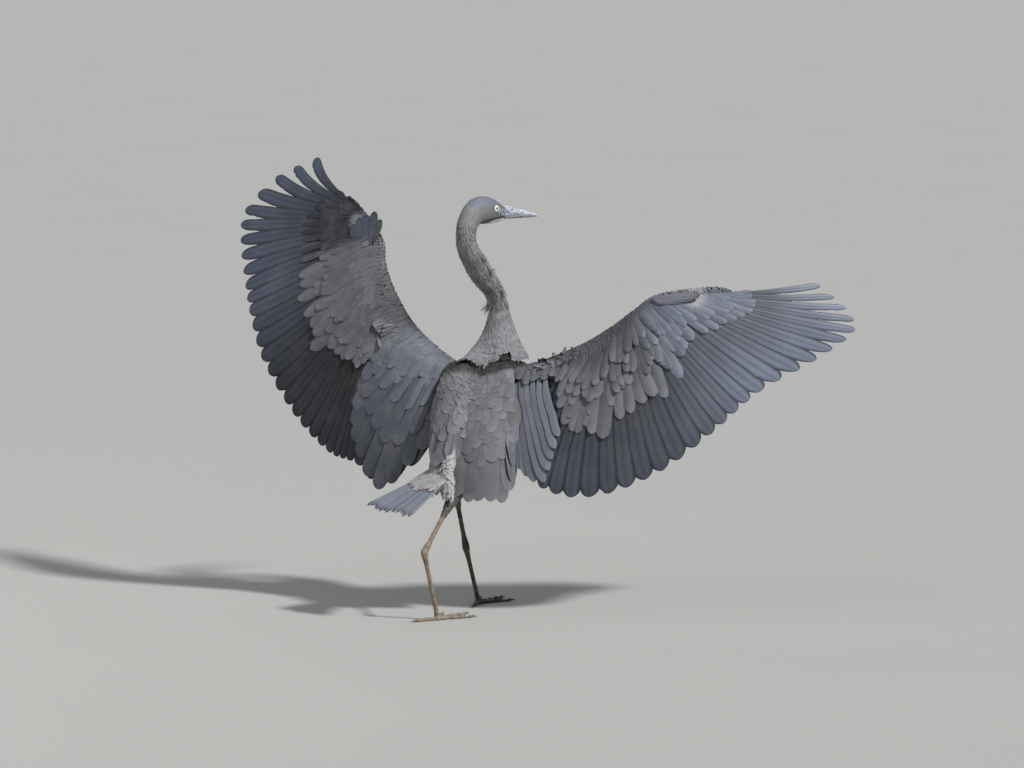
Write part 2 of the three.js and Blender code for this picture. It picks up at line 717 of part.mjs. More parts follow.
// The long shoulder feathers: a plate that hangs from the shoulder over the flank.
function buildScapulars(name, group, cutters) {
  const root = keyed(group.root);
  const tip = keyed(group.tip);
  const last = group.root[group.root.length - 1][0];
  const count = group.feathers * 3;
  const middles = [];
  const normals = [];
  const halves = [];
  for (let c = 0; c <= count; c += 1) {
    const key = (last * c) / count;
    const from = vec(root(key));
    const run = vec(tip(key)).sub(from);
    const along = vec(root(key + 0.3)).sub(vec(root(key - 0.3))).add(vec(tip(key + 0.3)))
      .sub(vec(tip(key - 0.3)));
    const up = run.clone().cross(along).multiplyScalar(group.side).normalize();
    const end = c % 3 === 0 ? 1 - 12 / run.length() : 1;
    const shares = [0, 0.2, 0.5, 0.8, 1].map((share) => share * end);
    middles.push(shares.map((share) => from.clone().addScaledVector(run, share)
      .addScaledVector(up, group.bulge * 4 * share * (1 - share))));
    normals.push(shares.map(() => up));
    halves.push([1.5, 3.2, 3, 2, 0.7]);
  }
  addPart("scapulars_" + name, trimmed(plate(middles, normals, halves), ...cutters), COLOURS.covert);
}

// ------------------------------------------------------------------ assembly

buildTrunkAndNeck();
buildHead();
buildBill();
const trunkGrown = bodyLength(0, NECK_CUTS[0] + 0.02, 12, CLEARANCE);
buildTail(trunkGrown);
for (const name of ["left", "right"]) {
  const thighGrown = buildLeg(name, LEGS[name], trunkGrown);
  const wingGrown = buildWing(name, WINGS[name], trunkGrown);
  buildScapulars(name, SCAPULARS[name], [trunkGrown, thighGrown, ...wingGrown]);
}

// The middle of the bird's own box goes over the origin, with the soles on z = 0.
const box = new THREE.Box3().setFromObject(bird);
bird.position.set(-(box.min.x + box.max.x) / 2, -(box.min.y + box.max.y) / 2, -box.min.z);

export default heron;
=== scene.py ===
import bpy
import numpy as np
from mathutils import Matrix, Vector


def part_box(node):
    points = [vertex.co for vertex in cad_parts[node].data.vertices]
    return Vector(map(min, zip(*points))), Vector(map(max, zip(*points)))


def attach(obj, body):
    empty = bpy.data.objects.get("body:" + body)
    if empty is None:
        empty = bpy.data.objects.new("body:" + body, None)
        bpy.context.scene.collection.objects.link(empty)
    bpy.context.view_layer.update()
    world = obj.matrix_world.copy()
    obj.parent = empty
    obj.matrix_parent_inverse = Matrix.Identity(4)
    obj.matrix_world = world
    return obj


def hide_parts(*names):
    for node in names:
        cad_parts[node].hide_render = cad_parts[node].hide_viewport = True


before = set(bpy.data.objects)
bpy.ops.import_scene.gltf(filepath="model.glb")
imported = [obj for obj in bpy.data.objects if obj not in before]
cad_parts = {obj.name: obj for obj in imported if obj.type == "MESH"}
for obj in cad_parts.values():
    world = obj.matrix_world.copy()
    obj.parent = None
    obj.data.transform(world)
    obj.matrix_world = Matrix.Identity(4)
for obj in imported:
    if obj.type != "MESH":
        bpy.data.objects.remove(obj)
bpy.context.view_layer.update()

# Lengths below are millimetres from the middle of the bird's hips; setInPlace turns them
# into metres where the frame stands. The bird faces +Y and its right side is +X.
eye = {"x": 16.6, "y": 143.0, "z": 992.5, "radius": 8.5}
eyeLow, eyeHigh = (np.array(corner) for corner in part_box("eye_right"))
hipsAt = (eyeLow + eyeHigh) * 500 - np.array([eye["x"], eye["y"], eye["z"]])


def setInPlace(points):
    return (points + hipsAt) / 1000


camera = {"azimuth": 36.0, "elevation": 6.0, "distance": 12.0, "lens": 172.2, "aim": (113.0, 82.0, 569.0)}


def setUp(name, data, place, heading):  # a camera or a lamp at place that looks along heading
    made = bpy.data.objects.new(name, data)
    made.location = Vector(place)
    made.rotation_euler = Vector(heading).to_track_quat("-Z", "Y").to_euler()
    bpy.context.scene.collection.objects.link(made)
    return made


def setCamera():  # it stands distance metres back from aim
    turn, rise = np.radians(camera["azimuth"]), np.radians(camera["elevation"])
    backwards = np.array([np.sin(turn) * np.cos(rise), -np.cos(turn) * np.cos(rise), np.sin(rise)])
    data = bpy.data.cameras.new("camera")
    data.lens = camera["lens"]
    data.sensor_width = 36
    data.clip_end = 400
    place = setInPlace(np.array(camera["aim"])) + backwards * camera["distance"]
    bpy.context.scene.camera = setUp("camera", data, place, -backwards)
    print("camera set")


setCamera()


def unit(v):  # v over its own length
    return v / np.maximum(np.linalg.norm(v, axis=-1, keepdims=True), 1e-12)


def mix(a, b, t):  # a where t is 0, b where t is 1
    return a + (b - a) * t


def eased(low, high, x):  # 0 below low, 1 over high, an S curve between
    t = np.clip((np.asarray(x, float) - low) / (high - low), 0, 1)
    return t * t * (3 - 2 * t)


def linear(rgb):  # screen colour 0 to 255 into light
    c = np.asarray(rgb, float) / 255
    return np.where(c <= 0.04045, c / 12.92, ((c + 0.055) / 1.055) ** 2.4)


def roundEnd(share, least):  # a quarter circle: the root of 1 - (1 - share)^2
    return np.maximum(np.sqrt(1 - (1 - np.clip(share, 0, 1)) ** 2), least)


def moved(place, *steps):  # place plus each direction times its own amount
    for direction, amount in steps:
        place = place + direction * amount[..., None]
    return place


def pair(a, b):  # two rows of numbers side by side
    return np.stack([a, b], 1)


def mmAlong(places):  # the way from the first place up to each of them
    steps = np.linalg.norm(np.diff(places, axis=0), axis=1)
    return np.concatenate([[0], np.cumsum(steps)])


# Soft noise from -1 to 1: the sum of eight sine waves in random directions, about size mm long.
def ripple(points, size, seed):
    rng = np.random.default_rng(seed)
    waves = unit(rng.normal(size=(8, 3))) * (2 * np.pi / size) * rng.uniform(0.6, 1.7, (8, 1))
    return np.sin(points @ waves.T + rng.uniform(0, 2 * np.pi, 8)).sum(-1) / 4


# A smooth curve through rows of (key, values): cubic between two rows, its slope at a row taken
# from the rows on both sides of it, and straight on beyond the ends.
def keyed(rows):
    table = np.array(rows, float)
    keys, values = table[:, 0], table[:, 1:]
    last = len(keys) - 1
    before, after = np.maximum(np.arange(last + 1) - 1, 0), np.minimum(np.arange(last + 1) + 1, last)
    slopes = (values[after] - values[before]) / (keys[after] - keys[before])[:, None]

    def at(key):
        key = np.asarray(key, float)
        i = np.clip(np.searchsorted(keys, key, side="right") - 1, 0, last - 1)
        step = (keys[i + 1] - keys[i])[..., None]
        whole = (key - keys[i])[..., None] / step
        t = np.clip(whole, 0, 1)
        t2, t3 = t * t, t * t * t
        curve = (values[i] * (2 * t3 - 3 * t2 + 1) + values[i + 1] * (3 * t2 - 2 * t3)
                 + slopes[i] * step * (t3 - 2 * t2 + t) + slopes[i + 1] * step * (t3 - t2))
        return curve + np.where(whole < 0, slopes[i], slopes[i + 1]) * step * (whole - t)
    return at


def curve(rows):  # keyed, for rows of a key and one value
    line = keyed(rows)

    def at(key):
        return line(key)[..., 0]
    return at


def opaque(tone):  # the colours with a full alpha behind them
    return np.concatenate([tone, np.ones((len(tone), 1))], 1)


def addValues(mesh, name, data):  # per point: three numbers are a vector, four a colour
    kind, field = ("FLOAT_COLOR", "color") if data.shape[1] == 4 else ("FLOAT_VECTOR", "vector")
    mesh.attributes.new(name, kind, "POINT").data.foreach_set(field, data.astype(np.float32).ravel())


# One mesh from points and faces, with any values and maps per point.
def makeMesh(name, points, quads, tris=None, values=None, maps=None, sharp=None):
    tris = np.zeros((0, 3), int) if tris is None else tris
    corners = np.concatenate([quads.ravel(), tris.ravel()]).astype(np.int32)
    starts = np.concatenate([np.arange(len(quads)) * 4, len(quads) * 4 + np.arange(len(tris)) * 3])
    mesh = bpy.data.meshes.new(name)
    mesh.vertices.add(len(points))
    mesh.vertices.foreach_set("co", setInPlace(points).astype(np.float32).ravel())
    mesh.loops.add(len(corners))
    mesh.loops.foreach_set("vertex_index", corners)
    mesh.polygons.add(len(starts))
    mesh.polygons.foreach_set("loop_start", starts.astype(np.int32))
    mesh.update(calc_edges=True)
    mesh.polygons.foreach_set("use_smooth", np.ones(len(starts), bool))
    for key, data in (values or {}).items():
        addValues(mesh, key, data)
    for key, data in (maps or {}).items():
        mesh.uv_layers.new(name=key).uv.foreach_set("vector", data[corners].astype(np.float32).ravel())
    if sharp is not None:  # an edge between two rim points is a crisp one
        ends = np.empty(len(mesh.edges) * 2, np.int32)
        mesh.edges.foreach_get("vertices", ends)
        crisp = mesh.attributes.new("sharp_edge", "BOOLEAN", "EDGE")
        crisp.data.foreach_set("value", sharp[ends.reshape(-1, 2)].all(1))
    made = bpy.data.objects.new(name, mesh)
    bpy.context.scene.collection.objects.link(made)
    return made


def finishPiece(piece, material, slot, *nodes):  # nodes are the solids that the piece stands for
    piece.data.materials.append(material)
    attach(piece, "root")
    if nodes:
        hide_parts(*nodes)
    print(piece.name, len(piece.data.polygons), "faces")
    return piece


# A closed shell on a grid of rows: the columns join round, and each end row closes on its middle.
def shell(grid):
    rows, columns = grid.shape[:2]
    index = np.arange(rows * columns).reshape(rows, columns)
    beside = np.roll(index, -1, 1)
    quads = np.stack([index[:-1], beside[:-1], beside[1:], index[1:]], -1).reshape(-1, 4)
    points = np.concatenate([grid.reshape(-1, 3), grid[[0, -1]].mean(1)])
    poles = rows * columns + np.array([0, 1])
    tris = np.concatenate([
        np.stack([beside[0], index[0], np.full(columns, poles[0])], -1),
        np.stack([index[-1], beside[-1], np.full(columns, poles[1])], -1)])
    return facedOut(points, quads, tris)


def facedOut(points, quads, tris):  # turns faces round if the shell's volume is negative
    split = np.concatenate([quads[:, [0, 1, 2]], quads[:, [0, 2, 3]], tris])
    a, b, c = (points[split[:, i]] for i in range(3))
    if (a * np.cross(b, c)).sum() < 0:
        quads, tris = quads[:, ::-1], tris[:, ::-1]
    return points, quads, tris


def joined(shells):  # several shells as one; the faces count on from the last
    points, quads, tris = zip(*shells)
    offsets = np.cumsum([0] + [len(p) for p in points[:-1]])
    return (np.concatenate(points), np.concatenate([q + o for q, o in zip(quads, offsets)]),
            np.concatenate([f + o for f, o in zip(tris, offsets)]))


# Every feather is one closed leaf, thickest along its shaft. A form holds its stations from root 0
# to tip 1 and its columns from rim -1 to rim 1; u is a station and w a column.
vaneForms = {
    "fine": {"stations": [0, 0.35, 0.7, 0.9, 1], "columns": [-1, 0, 1]},
    "small": {"stations": [0, 0.25, 0.5, 0.72, 0.9, 1], "columns": [-1, -0.45, 0.45, 1]},
    "covert": {"stations": [0, 0.2, 0.42, 0.62, 0.78, 0.89, 0.96, 1], "columns": [-1, -0.5, 0, 0.5, 1]},
    "long": {"stations": [0, 0.12, 0.25, 0.38, 0.5, 0.62, 0.72, 0.8, 0.86, 0.91, 0.95, 0.98, 1],
             "columns": [-1, -0.6, -0.2, 0, 0.2, 0.6, 1]},
    "flight": {"stations": list(np.linspace(0, 0.84, 30)) + [0.87, 0.9, 0.925, 0.95, 0.97, 0.985, 0.995, 1],
               "columns": [-1, -0.72, -0.42, -0.18, -0.06, 0, 0.06, 0.2, 0.5, 0.78, 1]},
}


def vaneLines(form):  # the form's stations and columns as arrays
    return np.array(vaneForms[form]["stations"]), np.array(vaneForms[form]["columns"])


def roundVane(u):  # width share: full past the middle, with a round tip
    end = np.sqrt(np.clip(1 - np.clip((u - 0.68) / 0.32, 0, 1) ** 2.4, 0, 1))
    return np.maximum((0.3 + 0.7 * eased(0, 0.5, u)) * end, 0.1)


def evenVane(u):  # widening to the middle, then even; its tip comes from blunt
    return 0.45 + 0.55 * eased(0, 0.5, u)


def lanceVane(u):  # widest at a third, running out to a point
    return np.maximum(np.sin(np.pi * np.clip(0.14 + 0.86 * u, 0, 1)) ** 0.8, 0.06)


# The faces of one leaf: an upper and a lower grid that share their rim.
def leafFaces(rows, columns):
    upper = np.arange(rows * columns).reshape(rows, columns)
    lower = upper.copy()
    inside = (rows - 2) * (columns - 2)
    lower[1:-1, 1:-1] = rows * columns + np.arange(inside).reshape(rows - 2, columns - 2)

    def cells(index):
        return np.stack([index[:-1, :-1], index[:-1, 1:], index[1:, 1:], index[1:, :-1]], -1).reshape(-1, 4)
    rim = np.ones(rows * columns + inside, bool)
    rim[upper[1:-1, 1:-1].ravel()] = False
    rim[rows * columns:] = False
    return cells(upper)[:, ::-1], cells(lower), rim


# Half the thickness of a vane: thickness (1 - w^2), and at the shaft a ridge that fades by fade u.
def vaneThickness(u, w, thickness, ridge, fade=1.0):
    return thickness * (1 - w ** 2) + ridge * (1 - fade * u)[:, None] * np.exp(-(w / 0.05) ** 2)


# Leaves along given shafts. centres and normals hold one row of points for each feather; a vane
# reaches width to each side along cross(run, normal), bends down at its rims by arch, tips to one
# side by tilt, and is thick at the shaft: height = tilt w - arch w^2 +- thickness (1 - w^2).
def leaves(form, centres, normals, width, arch, tilt, thickness, ridge=0.0):
    u, w = vaneLines(form)
    run = unit(np.gradient(centres, axis=1))
    side = unit(np.cross(run, normals))
    face = unit(np.cross(side, run))
    tilt, arch = (np.broadcast_to(x, width.shape)[..., None] for x in (tilt, arch))
    middle = moved(
        centres[:, :, None], (side[:, :, None], width[..., None] * w),
        (face[:, :, None], tilt * w - arch * w ** 2))
    return middle, face[:, :, None] * vaneThickness(u, w, thickness, ridge)[None, ..., None]


# Closes leaves into arrays: points, faces and what each point knows about its feather.
def closedLeaves(form, middle, half, tone, spots, chance, lengths, patch=0.003):
    count, rows, columns = middle.shape[:3]
    up, down, rim = leafFaces(rows, columns)
    inner = (slice(None), slice(1, -1), slice(1, -1))
    upper = middle + half * np.where(rim[:rows * columns].reshape(rows, columns), 0, 1)[None, ..., None]
    points = np.concatenate([upper.reshape(count, -1, 3), (middle - half)[inner].reshape(count, -1, 3)], 1)
    u, w = vaneLines(form)
    lie = np.stack(np.broadcast_arrays(u[None, :, None], w[None, None, :], chance[:, None, None]), -1)
    span = np.linalg.norm(middle - middle[:, :, columns // 2][:, :, None], axis=-1) * np.sign(w)
    vane = np.stack(np.broadcast_arrays(lengths[:, None, None] * u[None, :, None], span), -1) / 1000
    corner = np.stack(np.broadcast_arrays(u[:, None] - 0.5, w[None] / 2), -1)
    place = spots[:, None, None] + patch * corner[None]

    def perPoint(data):
        return np.concatenate([data.reshape(count, rows * columns, -1),
                               data[inner].reshape(count, (rows - 2) * (columns - 2), -1)], 1)
    size = points.shape[1]
    faces = np.concatenate([up, down])
    quads = (faces[None] + size * np.arange(count)[:, None, None]).reshape(-1, 4)
    tones = np.broadcast_to(tone[:, None], (count, size, 3)) if tone.ndim == 2 else perPoint(tone)
    return {"points": points.reshape(-1, 3), "quads": quads, "rim": np.tile(rim, count),
            "tone": tones.reshape(-1, 3), "lie": perPoint(lie).reshape(-1, 3),
            "vane": perPoint(vane).reshape(-1, 2), "place": perPoint(place).reshape(-1, 2)}


def featherPiece(name, groups, finish, slot, *nodes):  # groups of closed leaves joined into one piece
    offsets = np.cumsum([0] + [len(g["points"]) for g in groups[:-1]])
    whole = {key: np.concatenate([g[key] for g in groups]) for key in groups[0] if key != "quads"}
    quads = np.concatenate([g["quads"] + o for g, o in zip(groups, offsets)])
    values = {"plumeTone": opaque(whole["tone"]), "lie": whole["lie"]}
    maps = {"vane": whole["vane"], "OFBake": whole["place"]}
    piece = makeMesh(name, whole["points"], quads, None, values, maps, whole["rim"])
    finishPiece(piece, finishes[finish], slot, *nodes)


# A surface read by two numbers, with its outward normal from steps to both sides of the point.
def surfaced(shape, stepA, stepB, sign):
    def at(a, b):
        along = shape(a, b + stepB) - shape(a, b - stepB)
        across = shape(a + stepA, b) - shape(a - stepA, b)
        return shape(a, b), unit(np.cross(across, along)) * sign
    return at


# Feathers laid on a surface: a shaft runs evenly from its root to its tip in the surface's own
# numbers, while its height over the surface is low + (high - low) u^rise + curl u^3.
# Where blunt is given, the last blunt half widths of the length close in a round tip. The colour
# brightens by fade from root to tip, painted shade on the covered root, and edge darkens it towards
# the rims, painted shade between overlapping feathers.
def layFeathers(surface, form, root, tip, halfWidth, low, high, profile, markings, spots, rng,
                arch=0.25, tilt=0.0, thickness=0.25, curl=0.0, blunt=0.0, rise=0.5, fade=0.2, edge=0.0):
    u, w = vaneLines(form)
    a = root[:, :1] + (tip[:, :1] - root[:, :1]) * u
    b = root[:, 1:] + (tip[:, 1:] - root[:, 1:]) * u
    points, normals = surface(a, b)
    count = len(root)
    low, high, curl = (np.broadcast_to(x, count)[:, None] for x in (low, high, curl))
    height = low + (high - low) * u ** rise + curl * u ** 3
    centres = points + normals * height[..., None]
    width = halfWidth[:, None] * profile(u)
    lengths = np.linalg.norm(centres[:, -1] - centres[:, 0], axis=-1)
    if blunt:
        width = width * roundEnd((1 - u) * lengths[:, None] / (blunt * halfWidth[:, None]), 0.12)
    middle, half = leaves(
        form, centres, normals, width, arch * width, np.broadcast_to(tilt, count)[:, None] * profile(u),
        thickness)
    chance = rng.random(count)
    tone = markings(centres, np.broadcast_to(chance[:, None], centres.shape[:2]))
    # painted shade: rims darkens each vane towards its rims, fades darkens its covered root
    rims = 1 + np.broadcast_to(edge, count)[:, None] * eased(0.45, 1.0, np.abs(w))
    fades = 1 + np.broadcast_to(fade, count)[:, None] * (u - 0.6)
    tone = tone[:, :, None] * fades[..., None, None] * rims[:, None, :, None]
    return closedLeaves(form, middle, half, tone, spots, chance, lengths)


# The plumage's colours, shared by skin and coat; jaw is a painted shadow line and thigh is darkened
# by painted shade
plumage = {
    "body": (103, 101, 104), "neck": (109, 108, 111), "cowl": (111, 108, 112), "head": (110, 109, 110),
    "crown": (105, 110, 122), "chin": (240, 230, 228), "jaw": (22, 22, 26), "down": (58, 57, 59),
    "covert": (86, 85, 90), "forearm": (60, 62, 69), "median": (84, 84, 89), "greater": (90, 89, 94),
    "handDark": (30, 33, 42), "handGrey": (92, 97, 111), "handPale": (150, 148, 150), "under": (74, 76, 82),
    "scapular": (89, 87, 92), "tertial": (83, 86, 95), "innerBlade": (86, 90, 101), "tail": (106, 111, 121),
    "tailCovert": (133, 130, 132), "vent": (138, 136, 134), "fluff": (143, 142, 142), "thigh": (74, 69, 67),
}
flightColoursShaded = {  # secondaries at root and tip, primaries at root and tip; the darker roots and the darker left wing are painted shade
    "left": ((18, 19, 22), (36, 39, 46), (42, 45, 55), (55, 61, 76)),
    "right": ((40, 42, 48), (55, 59, 68), (74, 78, 88), (97, 103, 117)),
}
paleSpots = [  # middle, reach, and how much of the vent's colour
    ((14, -52, 345), 44, 0.75), ((44, -34, 330), 50, 0.95), ((30, -70, 300), 40, 0.9),
    ((44, -10, 300), 46, 0.8)]


# The base colour with the pale spots near the vent, brighter or darker by a slow noise and by chance,
# and darkened by painted shade below the cape's edge.
def bodyTone(points, chance, base="body", spread=0.13):
    colour = np.broadcast_to(linear(plumage[base]), points.shape).copy()
    for middle, reach, share in paleSpots:
        near = np.exp(-(np.linalg.norm(points - np.array(middle, float), axis=-1) / reach) ** 4) * share
        colour = mix(colour, linear(plumage["vent"]), near[..., None])
    light = 1 + spread * ripple(points, 55, 3) + 0.6 * spread * (chance - 0.5) * 2
    light = light * (1 - 0.8 * paintedShadeUnderCape(points))
    warm = 0.03 * ripple(points, 80, 5)
    return colour * light[..., None] * np.stack([1 + warm, np.ones(points.shape[:-1]), 1 - warm], -1)


def plainTone(base, spread=0.12, size=60):  # one colour with a soft noise and a step for each feather
    def tone(points, chance):
        light = 1 + spread * 0.6 * ripple(points, size, 7) + spread * (chance - 0.5) * 2
        return linear(plumage[base]) * light[..., None]
    return tone


def newGroup(name, inputs, outputs):  # a node group with these sockets, empty inside
    group = bpy.data.node_groups.new(name, "ShaderNodeTree")
    for direction, sockets in (("INPUT", inputs), ("OUTPUT", outputs)):
        for label, kind, *value in sockets:
            made = group.interface.new_socket(label, in_out=direction, socket_type="NodeSocket" + kind)
            if value:
                made.default_value = value[0]
    return group, Nodes(group)


class Nodes:  # short ways to add and join nodes in one tree
    def __init__(self, tree):
        self.tree = tree
        self.x = 0

    def add(self, kind, **settings):
        node = self.tree.nodes.new("ShaderNode" + kind)
        node.location = (self.x, 0)
        self.x += 180
        for key, value in settings.items():
            setattr(node, key, value)
        return node

    def put(self, socket, value):  # three numbers are a screen colour
        if isinstance(value, bpy.types.NodeSocket):
            self.tree.links.new(value, socket)
        else:
            socket.default_value = rgba(value) if isinstance(value, tuple) and len(value) == 3 else value

    def value(self, name, kind="Vector"):  # a mesh's own values
        return self.add("Attribute", attribute_name=name).outputs[kind]

    def place(self):  # the object's own coordinates
        return self.add("TexCoord").outputs["Object"]

    def parts(self, vector):  # its x, y and z
        node = self.add("SeparateXYZ")
        self.put(node.inputs[0], vector)
        return node.outputs

    def vector(self, *parts):
        return self.filled("CombineXYZ", parts)

    def grey(self, light):
        return self.filled("CombineColor", [light] * 3)

    def math(self, operation, *values):
        return self.filled("Math", values, operation=operation)

    def plus(self, a, b):
        return self.math("ADD", a, b)

    def times(self, a, b):
        return self.math("MULTIPLY", a, b)

    def filled(self, kind, values, **settings):  # a node whose sockets take the values in order
        node = self.add(kind, **settings)
        for socket, value in zip(node.inputs, values):
            self.put(socket, value)
        return node.outputs[0]

    def between(self, value, low, high, outLow=0.0, outHigh=1.0, kind="SMOOTHSTEP"):
        return self.filled("MapRange", (value, low, high, outLow, outHigh), interpolation_type=kind)

    def blend(self, share, a, b, kind="MIX"):
        node = self.add("Mix", data_type="RGBA", blend_type=kind)
        self.put(node.inputs[0], share)
        self.put(node.inputs[6], a)
        self.put(node.inputs[7], b)
        return node.outputs[2]

    def noise(self, vector, scale, detail=3.0, rough=0.55, stretch=None):
        if stretch:
            mapping = self.add("Mapping")
            self.put(mapping.inputs["Vector"], vector)
            mapping.inputs["Scale"].default_value = stretch
            vector = mapping.outputs[0]
        node = self.add("TexNoise")
        for label, value in (("Vector", vector), ("Scale", scale), ("Detail", detail), ("Roughness", rough)):
            self.put(node.inputs[label], value)
        return node.outputs["Fac"]


def rgba(rgb):  # a socket's colour from a screen colour
    return tuple(linear(rgb)) + (1.0,)


# Feather grain: barbs run from the shaft outwards and tipwards, so a stripe number is the way along
# plus the way across; clumps of barbs shift the colour, and the shaft, rims and tip have their own.
# A negative Rim paints shade along the rims, and Lit band paints a highlight across the vane.
def buildFeatherGrain():
    group, n = newGroup("featherGrain", [
        ("Tone", "Color", (0.1, 0.1, 0.1, 1)), ("Barb spacing", "Float", 1.3), ("Clump", "Float", 0.2),
        ("Rim", "Float", -0.3), ("Tip", "Float", 0.0), ("Shaft", "Float", 0.3),
        ("Shaft width", "Float", 0.06), ("Lit band", "Float", 0.0), ("Rim start", "Float", 0.7)],
        [("Colour", "Color"), ("Roughness", "Float"), ("Height", "Float")])
    given = group.nodes.new("NodeGroupInput").outputs
    along, w, chance = n.parts(n.value("lie"))
    mapAlong, mapAcross = n.parts(n.add("UVMap", uv_map="vane").outputs[0])[:2]
    stripe = n.plus(mapAlong, n.times(n.math("ABSOLUTE", mapAcross), -1.15))
    clumps = n.noise(
        n.vector(n.times(stripe, 420.0), n.times(mapAcross, 38.0), n.times(chance, 37.0)), 1.0, 4.0, 0.65)
    turns = n.math("DIVIDE", n.times(stripe, 6283.2), given["Barb spacing"])  # the map is in metres
    barbs = n.math("SINE", n.plus(turns, n.times(clumps, 5.0)))
    apart = n.math("ABSOLUTE", w)
    rim = n.between(apart, given["Rim start"], 1.0)
    tip = n.between(along, 0.82, 1.0)
    shaft = n.between(apart, 0.0, given["Shaft width"], 1.0, 0.0)
    band = n.times(n.between(apart, 0.05, 0.3), n.between(apart, 0.4, 0.8, 1.0, 0.0))
    clumped = n.times(n.math("SUBTRACT", clumps, 0.5), n.times(given["Clump"], 2.0))
    light = n.plus(1.0, clumped)
    for share, name in ((rim, "Rim"), (tip, "Tip"), (shaft, "Shaft"), (band, "Lit band")):
        light = n.plus(light, n.times(share, given[name]))
    light = n.plus(light, n.times(barbs, 0.016))
    out = group.nodes.new("NodeGroupOutput")
    n.put(out.inputs["Colour"], n.blend(1.0, given["Tone"], n.grey(light), "MULTIPLY"))
    n.put(out.inputs["Roughness"], n.between(clumps, 0.3, 0.7, 0.5, 0.68))
    height = n.plus(n.times(barbs, 0.16), n.times(clumps, 1.1))
    n.put(out.inputs["Height"], n.plus(height, n.times(shaft, 0.8)))
    return group


# Dust: a pale powder in patches, from noise on the object's own coordinates.
def buildDust():
    group, n = newGroup("dust", [
        ("Colour", "Color", (0.1, 0.1, 0.1, 1)), ("Powder", "Color", (0.3, 0.29, 0.27, 1)),
        ("Amount", "Float", 0.2), ("Size", "Float", 30.0)], [("Colour", "Color")])
    given = group.nodes.new("NodeGroupInput").outputs
    patches = n.between(n.noise(n.place(), given["Size"], 5.0, 0.6), 0.42, 0.75)
    out = group.nodes.new("NodeGroupOutput")
    share = n.times(patches, given["Amount"])
    n.put(out.inputs["Colour"], n.blend(share, given["Colour"], given["Powder"]))
    return group


featherGrain = buildFeatherGrain()
dust = buildDust()


def newMaterial(name, roughness=0.6, specular=0.5):  # the material, its nodes and its shader's sockets
    material = bpy.data.materials.new(name)
    material.use_nodes = True
    n = Nodes(material.node_tree)
    shader = material.node_tree.nodes["Principled BSDF"]
    shader.inputs["Roughness"].default_value = roughness
    shader.inputs["Specular IOR Level"].default_value = specular
    n.x = -1600
    return material, n, shader.inputs


def useGroup(n, group, **values):  # a node for the group; _ in a name stands for a space
    node = n.add("Group", node_tree=group)
    for key, value in values.items():
        n.put(node.inputs[key.replace("_", " ")], value)
    return node.outputs


def addBump(n, inputs, height, strength, distance):  # distance is in metres
    bump = n.add("Bump")
    bump.inputs["Strength"].default_value = strength
    bump.inputs["Distance"].default_value = distance
    n.put(bump.inputs["Height"], height)
    n.put(inputs["Normal"], bump.outputs[0])


# A feather finish: the coat's own tone through the grain, with a little dust over it.
def featherMaterial(name, powder=0.12, bump=0.5, depth=0.0005, sheen=0.0, **grain):
    material, n, inputs = newMaterial(name, specular=0.35)
    tone = n.value("plumeTone", "Color")
    lines = useGroup(n, featherGrain, Tone=tone, **grain)
    dusted = useGroup(n, dust, Colour=lines["Colour"], Powder=(150, 145, 138), Amount=powder, Size=22.0)
    n.put(inputs["Base Color"], dusted["Colour"])
    n.put(inputs["Roughness"], lines["Roughness"])
    inputs["Sheen Weight"].default_value = sheen
    inputs["Sheen Roughness"].default_value = 0.4
    addBump(n, inputs, lines["Height"], bump, depth)
    return material


finishes = {
    "body": featherMaterial(
        "softContour", Barb_spacing=1.1, Clump=0.3, Rim=0.16, Tip=0.16, Shaft=0.12, sheen=0.12),
    "neck": featherMaterial(
        "neckPlume", Barb_spacing=0.8, Clump=0.4, Rim=-0.05, Tip=0.25, Shaft=0.1, sheen=0.12),
    "head": featherMaterial(
        "headPlume", Barb_spacing=0.6, Clump=0.25, Rim=0.0, Tip=0.12, Shaft=0.0, depth=0.0003),
    "covert": featherMaterial(
        "wingCovert", Barb_spacing=1.6, Clump=0.3, Rim=0.06, Tip=0.12, Shaft=0.1, depth=0.0003),
    # flight vanes: the dark rims are painted shade between overlapping feathers, the lit band a painted
    # highlight, and the pale shaft is partly its own colour and partly a painted glint
    "flight": featherMaterial(
        "flightVane", Barb_spacing=2.2, Clump=0.2, Rim=-0.7, Rim_start=0.62, Tip=-0.05, Shaft=0.9,
        Shaft_width=0.022, Lit_band=0.4, powder=0.06, depth=0.0002),
    "scapular": featherMaterial(
        "shoulderPlume", Barb_spacing=1.6, Clump=0.24, Rim=0.2, Tip=0.22, Shaft=0.2, Shaft_width=0.05,
        depth=0.0003),
    "tertial": featherMaterial(
        "tertialVane", Barb_spacing=1.8, Clump=0.34, Rim=0.2, Tip=0.12, Shaft=-0.35, Shaft_width=0.05,
        depth=0.0003),
    "tail": featherMaterial(
        "tailVane", Barb_spacing=1.8, Clump=0.26, Rim=-0.1, Tip=-0.45, Shaft=0.12, powder=0.1, depth=0.0003),
}

# The line from vent to bill: key, y, z, half width, depth to the back, depth to the breast
bodyRows = [
    (0.0, -84, 322, 12, 10, 10), (0.4, -72, 335, 28, 24, 27), (1.0, -32, 377, 45, 42, 46),
    (2.0, 48, 462, 62, 60, 70), (3.0, 124, 543, 67, 65, 76), (4.0, 172, 602, 66, 61, 60),
    (5.0, 194, 645, 48, 46, 42), (5.25, 195, 661, 41, 40, 36), (5.5, 191, 682, 31, 33, 29),
    (6.0, 184, 729, 25, 27, 25), (7.0, 163, 782, 26, 24, 27), (8.0, 106, 839, 29, 33, 27),
    (9.0, 55, 896, 27, 28, 26), (10.0, 46, 934, 26, 26, 26), (10.6, 54, 962, 26, 27, 29),
    (11.3, 80, 986, 26, 31, 34), (12.0, 112, 992, 26, 32, 37), (13.0, 150, 988, 22, 27, 34),
    (14.0, 184, 980.8, 15.5, 19, 24), (14.5, 199, 979, 12.5, 17, 18)]
bodyLine = keyed(bodyRows)


